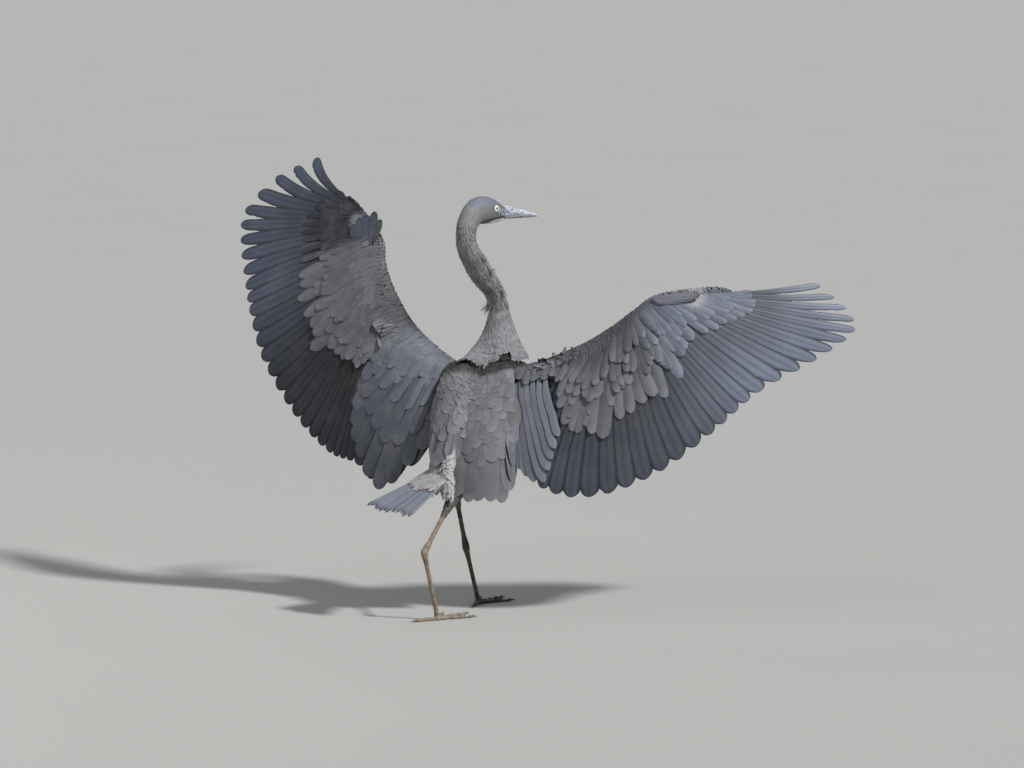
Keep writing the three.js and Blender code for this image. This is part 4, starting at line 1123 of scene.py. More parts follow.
# Rows from the feathers' ends forward to the wing's edge, each over the roots of the one behind it:
# two greater rows, the median one with what the wind raised, and the lesser rows.
def buildCovertSide(name, face, rng):
    sheet, plan = sheets[name], covertPlan[name]
    surface = armSide(sheet, face)
    greater, median = curve(plan["greater"]), curve(plan["median"])

    def tucked(numbers):  # the second greater row ends a little short of the first
        return greater(numbers) * np.where(numbers > 20.4, 0.8, 0.86)
    numbers = np.arange(0.0, 31.0)
    high = np.where(numbers > 18, plan["handHeight"], 1.8)
    rows = [greaterRow(
        name, surface, numbers, greater, 0.5, plan["widths"][0], (0.74, 17), 0.4, high, 5, face, rng)]
    numbers = np.arange(0.0, 30.0) + 0.5
    rows.append(greaterRow(
        name, surface, numbers, tucked, 0.4, plan["widths"][1], (1.0, 16), 0.6, 2.4, 4, face, rng))
    first, last, lift = plan["raised"]
    numbers = evenNumbers(surface, median, 14.5, 0.3)
    raised = eased(first - 1, first + 1, numbers) * eased(last + 1.5, last - 1, numbers) * (face > 0)
    lifted = raised * lift * rng.uniform(0.2, 1, len(numbers))
    rows.append(covertRow(
        name, surface, "median", numbers, median, 0.34, 11.0 + 2.4 * raised, "long", 0.6, 2.4, lifted, face,
        rng))
    if face > 0 and plan["secondRow"]:  # a second raised row with dark gaps under it
        shorter = shortened(median, 0.78)
        numbers = evenNumbers(surface, shorter, 16.0, 0.6, 6.5, 17.5)
        rows.append(covertRow(
            name, surface, "median", numbers, shorter, 0.3, 11.5, "long", 0.8, 3.2,
            rng.uniform(2, 10, len(numbers)), face, rng))
    for row in range(plan["lesserRows"]):
        share = 0.9 - 0.83 * row / (plan["lesserRows"] - 1)
        tips = shortened(median, share)
        gap = mix(7.5, 12.5, share) * (1 if face > 0 else 1.4)
        numbers = evenNumbers(surface, tips, gap, 0.5 * (row % 2) + 0.2)
        numbers = numbers + rng.uniform(-0.2, 0.2, len(numbers))
        if row % 3:  # the hand is narrow and needs a third of the rows
            numbers = numbers[numbers < 19.5]
        lifted = rng.uniform(-0.3, 0.6, len(numbers)) * mix(0.2, 1.0, share)
        form = "covert" if share > 0.25 and face > 0 else "small"
        rows.append(covertRow(
            name, surface, "lesser", numbers, tips, mix(0.09, 0.13, share), gap * mix(0.55, 0.74, share),
            form, 0.3, mix(0.55, 1.7, share), lifted, face, rng))
    if face > 0:
        rows.append(shoulderTuft(name, surface, rng))
    piece = ("upper" if face > 0 else "under") + "Coverts_" + name
    featherPiece(piece, rows, "covert", "wing_coverts")


def shoulderTuft(name, surface, rng):  # wind-ruffled feathers near the shoulder
    start, stop, near, far, count = covertPlan[name]["tuft"]
    numbers, end = rng.uniform(start, stop, count), rng.uniform(near, far, count)
    root = pair(numbers, end - 0.13)
    tip = pair(numbers + rng.normal(0, 0.35, count), end)
    wide, high = rng.uniform(4, 8, count), rng.uniform(2, 5, count)
    tone = covertTone(name, "greater", numbers)
    return layFeathers(
        surface, "covert", root, tip, wide, 0.5, high, evenVane, tone, wingSpots(root, 1), rng, arch=0.5,
        tilt=rng.uniform(-3, 3, count), curl=rng.uniform(3, 13, count), blunt=1.5)


def buildCoverts(name):  # one piece over the arm, one under it
    rng = np.random.default_rng(51 + sheets[name]["side"])
    for face in (1, -1):
        buildCovertSide(name, face, rng)


# One piece of stiff vanes, each with a strip of its own on the map: width across, its length upwards.
def stripPiece(name, middle, half, tone, chance, lengths, width, finish, slot, *nodes):
    count = len(lengths)
    spots = pair((np.arange(count) + 0.5) / count, np.full(count, 0.5))
    group = closedLeaves("flight", middle, half, tone, spots, chance, lengths)
    across = spots[:, 0].repeat(len(group["points"]) // count) + width * 0.5 * group["lie"][:, 1]
    group["place"] = pair(across, 0.03 + 0.94 * group["lie"][:, 0])
    featherPiece(name, [group], finish, slot, *nodes)


# The tertials, the long inner feathers, lie over the secondaries. Each row: number and share of the
# root, number and share of the tip, half width, height at the tip.
tertials = {
    "left": [
        (3.9, 0.06, 6.1, 0.46, 15, 3.0), (3.6, 0.05, 5.9, 0.60, 17, 3.6), (3.3, 0.05, 5.4, 0.72, 18, 4.2),
        (3.0, 0.05, 4.8, 0.83, 19, 4.8), (2.7, 0.05, 4.0, 0.93, 19, 5.4), (2.2, 0.06, 3.1, 1.00, 19, 6.0),
        (1.6, 0.06, 2.2, 1.02, 19, 6.6), (1.1, 0.06, 1.4, 1.00, 19, 7.2), (0.6, 0.06, 0.6, 0.94, 18, 7.8),
        (0.2, 0.06, -0.2, 0.88, 17, 8.4), (3.8, 0.0, 5.4, 0.36, 15, 8.0), (3.3, 0.0, 4.9, 0.47, 16, 8.6),
        (2.8, 0.0, 4.2, 0.57, 17, 9.2), (2.3, 0.0, 3.4, 0.64, 18, 9.8), (1.8, 0.0, 2.6, 0.68, 18, 10.4),
        (1.2, 0.0, 1.7, 0.68, 18, 11.0), (0.6, 0.0, 0.8, 0.64, 17, 11.6), (0.1, 0.0, 0.0, 0.56, 16, 12.2),
        (3.4, 0.0, 4.6, 0.26, 14, 11.0), (2.7, 0.0, 3.8, 0.33, 15, 11.6), (2.0, 0.0, 2.8, 0.38, 15, 12.2),
        (1.3, 0.0, 1.8, 0.4, 15, 12.8), (0.6, 0.0, 0.9, 0.38, 15, 13.4)],
    "right": [
        (-0.3, 0.20, 3.6, 1.0, 14, 2.4), (-0.1, 0.16, 4.6, 1.0, 14, 3.2), (0.2, 0.12, 5.4, 0.99, 14, 4.0),
        (0.6, 0.08, 6.2, 0.95, 13, 4.8), (1.0, 0.05, 6.3, 0.86, 12, 5.6), (1.5, 0.04, 6.3, 0.78, 11, 6.4),
        (2.0, 0.03, 6.3, 0.70, 10, 7.2), (2.5, 0.03, 6.3, 0.61, 10, 8.0)],
}


def buildTertials(name):
    sheet = sheets[name]
    left = name == "left"
    rng = np.random.default_rng(121 + sheet["side"])
    plan = np.array(tertials[name])
    count = len(plan)
    u = vaneLines("flight")[0]
    fromNumber, fromShare, toNumber, toShare, halfWidth, height = (column[:, None] for column in plan.T)
    number = mix(fromNumber, toNumber, u ** (1.0 if left else 1.8))
    share = mix(fromShare, toShare, u)
    rise = height * (0.45 + 0.55 * u) + 6 * u * (1 - u) + 7 * (1 - u) ** 2
    centres = sheet["point"](number, share, rise)
    lengths = np.linalg.norm(centres[:, -1] - centres[:, 0], axis=-1)
    width = halfWidth * rng.uniform(0.92, 1.08, (count, 1)) * evenVane(u)
    width = width * roundEnd((1 - u) * lengths[:, None] / (1.35 * halfWidth), 0.1)
    middle, half = leaves(
        "flight", centres, sheet["axes"](number)[2], width, 0.07 * width, 0.9 * sheet["side"], 0.25, 0.3)
    chance = rng.random(count)
    # painted light and shade: the left tertials darker, most of all the longest, the right ones brighter
    tertialLightAndShade = np.interp(toShare, [0.35, 0.7, 1.0], [0.82, 0.62, 0.54] if left else [1.24, 1.24, 1.2])
    tone = linear(plumage["innerBlade" if left else "tertial"]) * (0.84 + 0.32 * chance[:, None]) * tertialLightAndShade
    stripPiece(
        "tertials_" + name, middle, half, tone, chance, lengths, 0.92 / count, "tertial", "flight_feathers")


# A flight feather lies in the wing's sheet: its shaft starts outwards of its number and ends on it,
# the outer vane reaches half a number out, the inner one runs under its inner neighbour, and the
# height grows with the distance from the feather's number, so that each lies over the next one out.
# gapDepth is how far from the tips the primaries stand apart, for each wing's side.
flight = {
    "slope": 2.4, "shaftShift": 0.2, "innerReach": 1.02, "outerReach": 0.56, "thickness": 0.35, "ridge": 0.75,
    "startShare": 0.03, "gapDepth": {-1: [30, 70, 100, 135, 170, 200], 1: [10, 30, 50, 84, 130, 160]},
}


def flightVanes(sheet, numbers, rng):
    u, w = vaneLines("flight")
    number = numbers[:, None]
    share = mix(flight["startShare"], 1, u[None, :]) + 0 * number
    length = sheet["axes"](number)[4] * (1 - flight["startShare"])
    fromTip = (1 - u) * length
    ends = [sheet["point"](numbers + d, np.ones(len(numbers))) for d in (-0.5, 0.5)]
    halfTip = np.linalg.norm(ends[1] - ends[0], axis=-1)[:, None] * 0.5
    gapDepth = np.interp(number, [19, 22, 24, 26, 28, 30], flight["gapDepth"][sheet["side"]])
    tipInner = np.interp(number, [20, 22, 26, 28, 30], [0.44, 0.36, 0.32, 0.29, 0.28])
    tipOuter = np.interp(number, [20, 22, 26, 28, 30], [0.5, 0.4, 0.34, 0.3, 0.28])
    pointed = np.interp(number, [20, 25, 30], [1.05, 1.9, 2.4])
    taper = roundEnd(fromTip / (pointed * halfTip * np.minimum(tipInner + tipOuter, 1)), 0.1)
    shaft = number + flight["shaftShift"] * (1 - u ** 2)
    outerFull = mix(tipOuter, flight["outerReach"], np.clip(fromTip / (1.2 * gapDepth) - 0.15, 0, 1))
    innerFull = mix(tipInner, flight["innerReach"], eased(-0.3, 1, fromTip / (1.5 * gapDepth + 30) - 0.3))
    outer = np.maximum(outerFull - (shaft - number), 0.12) * taper
    inner = (innerFull + (shaft - number)) * taper
    for outerToo in (1, 0, 0):  # split barbs: narrow nicks in the rims
        where = rng.uniform(0.45, 0.98, (len(numbers), 1))
        depth = rng.uniform(0.0, 0.22, (len(numbers), 1)) * np.exp(-((u - where) / 0.012) ** 2)
        inner, outer = inner * (1 - depth), outer * (1 - depth * outerToo)
    key = shaft[..., None] + np.where(w > 0, outer[..., None], inner[..., None]) * w
    height = flight["slope"] * (key - number[..., None]) + 0.5 * (1 - w ** 2) * np.sqrt(taper)[..., None]
    middle = sheet["point"](key, share[..., None] + 0 * key, height)
    up = sheet["axes"](number + 0 * share)[2]
    thick = vaneThickness(u, w, flight["thickness"], flight["ridge"], 0.85)
    return middle, up[:, :, None] * thick[None, ..., None], length[:, 0], share


# Slate: from the root colour to the tip colour along the vane, and from the arm's to the hand's;
# the darker roots and the darker left wing are painted shade.
def flightTone(name, points, number, share, chance):
    armRoot, armTip, handRoot, handTip = (linear(rgb) for rgb in flightColoursShaded[name])
    along, hand = eased(0.35, 0.95, share)[..., None], eased(13, 22, number)[..., None]
    base = mix(mix(armRoot, armTip, along), mix(handRoot, handTip, along), hand)
    return base * (1 + 0.16 * (chance - 0.5) + 0.07 * ripple(points, 120, 17))[..., None]


def buildFlight(name, label, numbers, *nodes):  # one piece of flight feathers, one to each number
    sheet = sheets[name]
    count = len(numbers)
    rng = np.random.default_rng(61 + count + sheet["side"])
    middle, half, lengths, share = flightVanes(sheet, numbers, rng)
    chance = rng.random(count)
    across = np.zeros(middle.shape[:3])
    tone = flightTone(
        name, middle, numbers[:, None, None] + across, share[..., None] + across, chance[:, None, None])
    stripPiece(
        label + "_" + name, middle, half, tone, chance, lengths, 0.92 / count, "flight", "flight_feathers",
        *nodes)


def spreadRows(rows, count):  # count places, evenly along a row of places
    at, given = np.linspace(0, 1, count), np.linspace(0, 1, len(rows))
    return np.stack([np.interp(at, given, column) for column in np.array(rows, float).T], 1)


# The thumb feathers stand off the wrist: straight stiff vanes from root to tip, raised 6 u (1 - u).
def buildThumb(name):
    plan, sheet = wings[name]["thumb"], sheets[name]
    rng = np.random.default_rng(71)
    up = sheet["axes"](np.array(20.9))[2]
    u = vaneLines("flight")[0]
    shares = np.array([0.95, 1.0, 1.0, 0.9, 0.8])
    count = len(shares)
    root, tip = (spreadRows(plan[end], count) for end in ("root", "tip"))
    run = tip - root
    rise = plan["rise"] + 6 * u * (1 - u) + np.arange(count)[::-1, None] * 1.2
    centres = root[:, None] + run[:, None] * u[None, :, None] + up * rise[..., None]
    lengths = np.linalg.norm(run, axis=1)
    halfWidth = plan["halfWidth"] * shares[:, None]
    width = halfWidth * mix(0.5, 1.0, eased(0, 0.6, u))
    width = width * roundEnd((1 - u) * lengths[:, None] / (1.8 * halfWidth), 0.1)
    middle, half = leaves(
        "flight", centres, np.broadcast_to(up, centres.shape), width, 0.8, 0.9 * sheet["side"], 0.3, 0.5)
    chance = rng.random(count)
    tone = linear(plan["tone"]) * (0.85 + 0.3 * chance[:, None])
    stripPiece(
        "alula_feathers_" + name, middle, half, tone, chance, lengths, 0.18, "tail", "flight_feathers",
        "alula_" + name)


# Shoulder feathers: the mantle runs from under the cape over the back into two panels of
# long feathers that hang over the flanks. Columns -5 to 0 are the left panel, 1.2 to 7.2 the right.
mantle = {"seed": 81, "gapWidth": (0.15, 1.25)}
mantleRoot = keyed([
    (-5, -74, 66, 600), (-2, -28, 54, 594), (0, -2, 52, 578), (1.2, 22, 48, 566), (3.2, 50, 74, 590),
    (5.2, 78, 96, 600), (7.2, 96, 108, 592)])
mantleTip = keyed([
    (-5, -50, -40, 414), (-3, -9, -80, 388), (-1.5, 17, -88, 370), (0, 34, -70, 392), (1.2, 48, -66, 308),
    (2.2, 88, -52, 290), (3.4, 121, -34, 285), (4.6, 143, -8, 291), (5.8, 155, 20, 320),
    (7.2, 150, 42, 372)])
mantleTop = keyed([
    (-5, -84, 100, 606), (-2.5, -48, 112, 624), (0, -8, 124, 632), (1.2, 14, 130, 634), (4, 62, 146, 626),
    (7.2, 102, 166, 610)])
mantleBulge = curve([(-5, 14), (-2.5, 18), (0, 17), (1.5, 21), (7.2, 22)])


# Along each column: over the panel a straight run raised by 4 b (1 - b) of the bulge; above the
# panel (b below 0) a cubic that joins it smoothly to the top line under the cape.
def mantleShape(column, b):
    start, end, top = mantleRoot(column), mantleTip(column), mantleTop(column)
    run = end - start
    before, after = column - 0.3, column + 0.3
    along = mantleRoot(after) - mantleRoot(before) + mantleTip(after) - mantleTip(before)
    up = unit(np.cross(run, along))
    bulge = mantleBulge(column)[..., None]
    share = b[..., None]
    panel = start + run * share + up * bulge * 4 * share * (1 - share)
    t = np.clip(1 + share / 0.35, 0, 1)
    t2, t3 = t * t, t * t * t
    leave, reach = (start - top) * 0.9, (run + up * bulge * 4) * 0.35
    above = mix(top, start, 3 * t2 - 2 * t3) + leave * (t3 - 2 * t2 + t) + reach * (t3 - t2)
    return np.where(share < 0, above, panel)


def mantleTone(points, chance):  # greyer and darker down the panels, slate on the right, with painted shade below the cape's edge
    low = eased(470, 340, points[..., 2])
    high = eased(520, 600, points[..., 2])
    colour = mix(linear(plumage["scapular"]), linear(plumage["body"]) * 0.88, high[..., None])
    slate = eased(60, 150, points[..., 0]) * low * 0.4
    colour = colour * (1 - 0.22 * low[..., None])
    colour = mix(colour, linear(plumage["tertial"]), slate[..., None])
    light = (1 + 0.14 * ripple(points, 45, 23) + 0.3 * (chance - 0.5)) * (1 - 0.8 * paintedShadeUnderCape(points))
    return colour * light[..., None]


# Tiers of feathers from the top line to the panels' ends, staggered, longer and broader downwards.
def buildMantle():
    rng = np.random.default_rng(mantle["seed"])
    surface = surfaced(mantleShape, 0.1, 0.01, -1)
    ends = np.append(np.linspace(-0.33, 0.1, 17), [0.14, 0.19, 0.25, 0.32, 0.4, 0.49, 0.59, 0.71, 1.0])
    sides = {"left": [], "right": []}
    for tier, end in enumerate(ends):
        size = np.interp(end, [-0.33, 0.1, 0.5, 1.0], [4.6, 7.5, 16.0, 20.0])
        length = np.interp(end, [-0.33, 0.1, 0.5, 1.0], [0.10, 0.17, 0.34, 0.52])
        line = np.linspace(-5, 7.2, 300)
        mm = mmAlong(surface(line, np.full(300, end))[0])
        count = int(mm[-1] / (size * 1.4))
        places = (np.arange(count) + 0.25 + 0.5 * (tier % 2)) / count * mm[-1]
        column = np.interp(places + rng.uniform(-0.15, 0.15, count) * size, mm, line)
        if end > 0.6:
            column = column[(column < mantle["gapWidth"][0]) | (column > mantle["gapWidth"][1])]
        count = len(column)
        stray = np.interp(end, [-0.3, 0.1, 0.6, 1.0], [0.03, 0.05, 0.1, 0.04])
        tipAt = end + rng.uniform(-0.5, 0.5, count) * stray
        start = pair(1.1 + (column - 1.1) * 0.94 + rng.normal(0, 0.22, count), tipAt - length)
        finish = pair(column, tipAt)
        # fade darkens each feather's covered root and lightens its tip: painted shade and light
        low, high, fade = (
            np.interp(end, [-0.3, 0.3], ends) for ends in ([-1.4, -3.4], [0.3, 1.0], [0.15, 0.3]))
        for side, mine in (("left", column < 0.7), ("right", column >= 0.7)):
            if mine.any():
                spots = pair((start[mine, 0] + 5.4) / 13.2, (start[mine, 1] + 0.6) / 1.7) * 0.94 + 0.03
                number = mine.sum()
                wide, above = size * rng.uniform(0.85, 1.15, number), high + rng.uniform(-0.3, 0.4, number)
                sides[side].append(layFeathers(
                    surface, "long" if size > 8 else "covert", start[mine], finish[mine], wide, low, above,
                    evenVane, mantleTone, spots, rng, arch=0.07,
                    tilt=np.where(finish[mine, 0] > 1.1, -0.7, 0.7), thickness=0.2,
                    curl=rng.uniform(-0.2, 0.7, number), blunt=1.5, rise=1.0, fade=fade))
    for side, groups in sides.items():
        featherPiece(
            "scapular_feathers_" + side, groups, "scapular", "scapular_feathers", "scapulars_" + side)


tail = {"base": (0, -58, 352), "direction": (-0.221, -0.886, -0.407), "length": 200.0, "rootHalfWidth": 36,
        "spread": 0.24, "feathers": 12, "covertRows": 9, "arch": 2, "seed": 91}
tailAlong = unit(np.array(tail["direction"]))
tailAcross = unit(np.array([1.0, 0, 0]) - tailAlong * tailAlong[0])
tailUp = unit(np.cross(tailAlong, tailAcross))


# The tail's sheet: a fan from a broad root; side is -1 at the left rim and 1 at the right one.
def tailShape(side, share, height=0.0):
    side, share, height = np.broadcast_arrays(side, share, height)
    reach = tail["length"] * (1 - 0.02 * side ** 2) * share
    turned = side * tail["spread"]
    ray = np.cos(turned)[..., None] * tailAlong + np.sin(turned)[..., None] * tailAcross
    drop = height - tail["arch"] * side ** 2 * (0.4 + 0.6 * share)
    return moved(
        np.array(tail["base"], float), (tailAcross, side * tail["rootHalfWidth"]), (ray, reach),
        (tailUp, drop))


# The tail's vanes: the middle pair on top, each height growing towards its outer rim; nicks and
# ragged ends come from chance.
def buildTail():
    rng = np.random.default_rng(tail["seed"])
    count = tail["feathers"]
    u, w = vaneLines("flight")
    home = (np.arange(count) * 2 - (count - 1) + rng.uniform(-0.3, 0.3, count)) / count
    outwards = np.sign(home)[:, None, None]
    fromTip = (1 - u) * tail["length"]
    taper = roundEnd(fromTip / 20, 0.12)
    wide, narrow = 0.105 * taper, 0.19 * mix(0.6, 1.0, eased(0, 90, fromTip)) * taper
    spread = np.where(w > 0, wide[:, None], narrow[:, None]) * w

    def nick():
        depth = rng.uniform(0, 0.3, (count, 1))
        return depth * np.exp(-((u - rng.uniform(0.5, 0.98, (count, 1))) / 0.014) ** 2)
    whole = 1 - sum(nick() for _ in range(4))
    side = home[:, None, None] + outwards * spread[None] * whole[..., None]
    ragged = 0.06 * rng.random((count, 1, len(w))) * eased(0.86, 1.0, u)[None, :, None]
    share = 0.02 + 0.98 * (u[None, :, None] - ragged) * (1 - 0.07 * rng.random((count, 1, 1)))
    height = 6 * (side - home[:, None, None]) * outwards + 0.6 * (1 - w ** 2)
    height = height + 1.2 * (1 - np.abs(home))[:, None, None]
    middle = tailShape(side, share, height)
    half = np.broadcast_to(tailUp * vaneThickness(u, w, 0.32, 0.6, 0.85)[None, ..., None], middle.shape)
    chance = rng.random(count)
    tone = linear(plumage["tail"]) * (0.88 + 0.24 * chance[:, None])
    stripPiece("tailFeathers", middle, half, tone, chance, np.full(count, tail["length"]), 0.076, "tail",
               "tail_feathers", "tail")
    groups = [coverts for face in (1, -1) for coverts in tailCoverts(face, rng)]
    featherPiece("tailCoverts", groups, "body", "tail_feathers")


# Coverts over (1) or under (-1) the tail, on a pad that is thick at its root and thins towards the
# sides and to half the tail's length.
def tailCoverts(face, rng):
    def pad(side, share):
        thick = 0.8 + 17 * np.clip(1 - share / 0.5, 0, 1) * np.sqrt(1 - 0.85 * np.clip(side, -1, 1) ** 2)
        return tailShape(side, share, face * thick)
    surface = surfaced(pad, 0.02, 0.01, -face)
    for row in range(tail["covertRows"]):
        count = 15 - row // 2
        side = np.linspace(-0.98, 0.98, count) + rng.uniform(-0.05, 0.05, count)
        end = 0.46 - 0.05 * row + rng.uniform(-0.045, 0.035, count) - 0.1 * np.abs(side)
        root = pair(side * 0.9, end - 0.26)
        tip = pair(side, end)
        spots = pair(side * 0.45 + 0.5, (0.45 if face > 0 else 0.9) - row * 0.02 + 0 * side)
        wide, high = rng.uniform(5.0, 8.5, count), 1.0 + rng.uniform(0, 1.2, count)
        yield layFeathers(
            surface, "covert", root, tip, wide, -0.5, high, lanceVane, plainTone("tailCovert", 0.15, 40),
            spots, rng, arch=0.2, curl=rng.uniform(-0.5, 1.5, count))


# Vent fluff: loose down that hangs from the flank between the tail and the right thigh
fluff = {"top": [(12, -66, 408), (40, -62, 415)], "foot": [(12, -94, 308), (54, -86, 296)], "out": 12,
         "rows": 13, "across": 11, "seed": 131}


# A small sheet: straight from the top line to the foot line, raised by 4 b (1 - b) (1 - a^2) out.
def fluffShape(a, b):
    top, foot = (mix(*np.array(fluff[end], float), (a[..., None] + 1) / 2) for end in ("top", "foot"))
    lift = fluff["out"] * 4 * b * (1 - b) * (1 - a ** 2)
    return mix(top, foot, b[..., None]) + np.array([0.5, -0.85, 0.1]) * lift[..., None]


def buildFluff():
    rng = np.random.default_rng(fluff["seed"])
    rows, columns = fluff["rows"], fluff["across"]
    count = rows * columns
    end = np.repeat(np.linspace(0.14, 1, rows), columns) + rng.uniform(-0.06, 0.06, count)
    across = np.tile(np.linspace(-0.9, 0.9, columns), rows) + rng.uniform(-0.12, 0.12, count)
    root = pair(across * 0.9, end - 0.3)
    tip = pair(across + rng.normal(0, 0.22, count), end)
    spots = (root + [1.2, 0.4]) * [0.4, 0.65]
    wide, high = rng.uniform(4.5, 7.5, count), rng.uniform(0, 2.5, count)
    group = layFeathers(
        surfaced(fluffShape, 0.05, 0.02, -1), "small", root, tip, wide, -2.0, high, roundVane,
        plainTone("fluff", 0.14, 22), spots, rng, arch=0.3, thickness=0.2, curl=rng.uniform(-1, 4, count),
        rise=1.0)
    featherPiece("ventFluff", [group], "body", "body_feathers")


thighCoat = {"rows": 26, "columns": 22, "seed": 101}


def buildThigh(name):  # staggered rows down the thigh, shorter and narrower below, dark grey by painted shade
    leg = legs[name]
    surface = surfaced(limbShape(leg["knee"], leg["ankle"], thighRows), 0.05, 0.01, 1)
    rng = np.random.default_rng(thighCoat["seed"] + leg["side"])
    rows, columns = thighCoat["rows"], thighCoat["columns"]
    share = np.repeat(np.linspace(-0.06, 0.54, rows), columns)
    count = len(share)
    staggered = np.repeat(np.arange(rows) % 2, columns) / 2
    angle = (np.tile(np.arange(columns), rows) + staggered) / columns * 2 * np.pi
    angle = angle + rng.uniform(-0.08, 0.08, count)
    root = pair(angle, share + rng.normal(0, 0.006, count))
    length = np.interp(share, [0, 0.5], [0.085, 0.05]) * rng.uniform(0.8, 1.25, count)
    tip = root + pair(rng.normal(0, 0.06, count), length)
    halfWidth = np.interp(share, [0, 0.3, 0.54], [5.0, 3.6, 1.9]) * rng.uniform(0.8, 1.2, count)
    spots = pair((angle % (2 * np.pi)) / (2 * np.pi), (share + 0.1) / 0.7) * 0.94 + 0.03
    group = layFeathers(
        surface, "small", root, tip, halfWidth, -3.0, rng.uniform(-0.8, 0.5, count), roundVane,
        plainTone("thigh", 0.16, 30), spots, rng, arch=0.3, thickness=0.2)
    featherPiece("thigh_feathers_" + name, [group], "body", "thigh_feathers")


# The toes: name, angle off the way ahead, length and how many pads
toes = [
    ("inner", 0.5, 92, 3), ("middle", -0.02, 112, 4), ("outer", -0.52, 90, 4), ("hind", np.pi - 0.35, 62, 2)]
toe = {"radius": 5.2, "tipRadius": 3.4, "height": 4.2, "clawLength": 15}
legRadius = curve([  # mm below the ankle, and the radius there
    (-140, 6.0), (-70, 5.2), (-34, 5.6), (-14, 7.8), (0, 8.8), (10, 7.4), (34, 5.4), (90, 4.9), (150, 5.4),
    (175, 6.6), (200, 7.2)])
legAngle = np.linspace(0, 2 * np.pi, 25)[:-1]
upright = np.array([0, 0, 1.0])


def twoRuns(start, bend, end, count):  # even places along two straight runs, and mm past the bend
    upper, lower = np.linalg.norm(bend - start), np.linalg.norm(end - bend)
    mm = (np.linspace(0, 1, count) * (upper + lower))[:, None]
    line = np.where(mm < upper, mix(start, bend, mm / upper), mix(bend, end, (mm - upper) / lower))
    return line, mm[:, 0] - upper


# A leg's bare part: rings along shank and tarsus, swollen at the joint, with low scutes down the front.
def legShell(leg):
    knee, ankle, foot = (np.array(leg[key], float) for key in ("knee", "ankle", "foot"))
    line, fromJoint = twoRuns(mix(knee, ankle, 0.55), ankle, foot + 7 * upright, 150)
    kernel = np.hanning(11) / np.hanning(11).sum()
    rounded = np.stack([np.convolve(np.pad(x, 5, mode="edge"), kernel, "valid") for x in line.T], 1)
    line = np.where((np.abs(fromJoint) < 16)[:, None], rounded, line)
    run = unit(np.gradient(line, axis=0))
    front = -unit(np.cross(np.array([1.0, 0, 0]), run))
    side = unit(np.cross(run, front))
    ridge = 0.28 * np.where(np.abs(fromJoint) < 13, 0.3, 1) * (fromJoint / 4.6 % 1) ** 2
    wide = legRadius(fromJoint)[:, None] + ridge[:, None] * eased(-0.2, 0.6, np.sin(legAngle))[None]
    return shell(moved(
        line[:, None], (side[:, None], np.cos(legAngle) * wide),
        (front[:, None], np.sin(legAngle) * wide * 1.1)))


def hubShell(foot):  # the foot's middle: rings of these heights and radii
    high = np.array([0.0, 0.6, 3.0, 7.0, 11.0, 14.0])[:, None]
    wide = np.array([8.6, 9.6, 10.2, 9.8, 8.4, 6.8])[:, None]
    right, ahead = np.eye(3)[:2]
    middle = foot * (1 - upright) + high[..., None] * upright
    return shell(moved(middle, (right, np.cos(legAngle) * wide), (ahead, np.sin(legAngle) * wide)))


# A toe lies flat on the ground and narrows to its tip, with a swelling for each pad and low scutes.
def toeShell(middle, ahead, aside, length, pads):
    s = np.linspace(0, 1, 60)
    thick = mix(toe["radius"], toe["tipRadius"], s) + 0.75 * np.cos(s * pads * 2 * np.pi) * (s > 0.04)
    scutes = 0.16 * (s * length / 3.6 % 1) ** 2
    ball = thick[:, None] + scutes[:, None] * eased(0, 0.8, np.sin(legAngle))[None]
    ball = ball * np.where(s > 0.97, 0.8, 1.0)[:, None]
    height = np.maximum(0.02, np.minimum(toe["height"], thick)[:, None] + np.sin(legAngle) * ball)
    centre = middle + ahead * (s * length)[:, None]
    return shell(moved(centre[:, None], (aside, np.cos(legAngle) * ball), (upright, height)))


def clawShell(middle, ahead, aside, length):  # a curved cone, its radius 2.7 (1 - c)^0.75 to the tip
    c = np.linspace(0, 1, 20)
    wide = (2.7 * (1 - c) ** 0.75 + 0.25)[:, None]
    centre = middle + ahead * (length - 2.0 + c * (toe["clawLength"] + 1.5))[:, None]
    centre[:, 2] = 3.6 + 1.3 * np.sin(c * np.pi * 0.8) - 2.6 * c ** 2
    height = np.maximum(np.sin(legAngle) * wide, 0.05 - centre[:, None, 2])
    return shell(moved(centre[:, None], (aside, np.cos(legAngle) * wide * 0.85), (upright, height)))


def buildLeg(name):
    leg = legs[name]
    foot = np.array(leg["foot"], float)
    skin, claws = [legShell(leg), hubShell(foot)], []
    for label, offset, length, pads in toes:
        heading = np.pi / 2 + leg["side"] * offset + leg["turn"]
        ahead = np.array([np.cos(heading), np.sin(heading), 0])
        aside = np.array([ahead[1], -ahead[0], 0])
        middle = foot * (1 - upright)
        skin.append(toeShell(middle, ahead, aside, length, pads))
        claws.append(clawShell(middle, ahead, aside, length))
    nodes = ["shank_" + name, "tarsus_" + name, "foot_" + name]
    finishPiece(makeMesh("legSkin_" + name, *joined(skin)), legMaterials[name], "leg_skin", *nodes)
    nodes = ["claw_%s_%s" % (name, row[0]) for row in toes]
    finishPiece(makeMesh("claws_" + name, *joined(claws)), horn, "claw", *nodes)


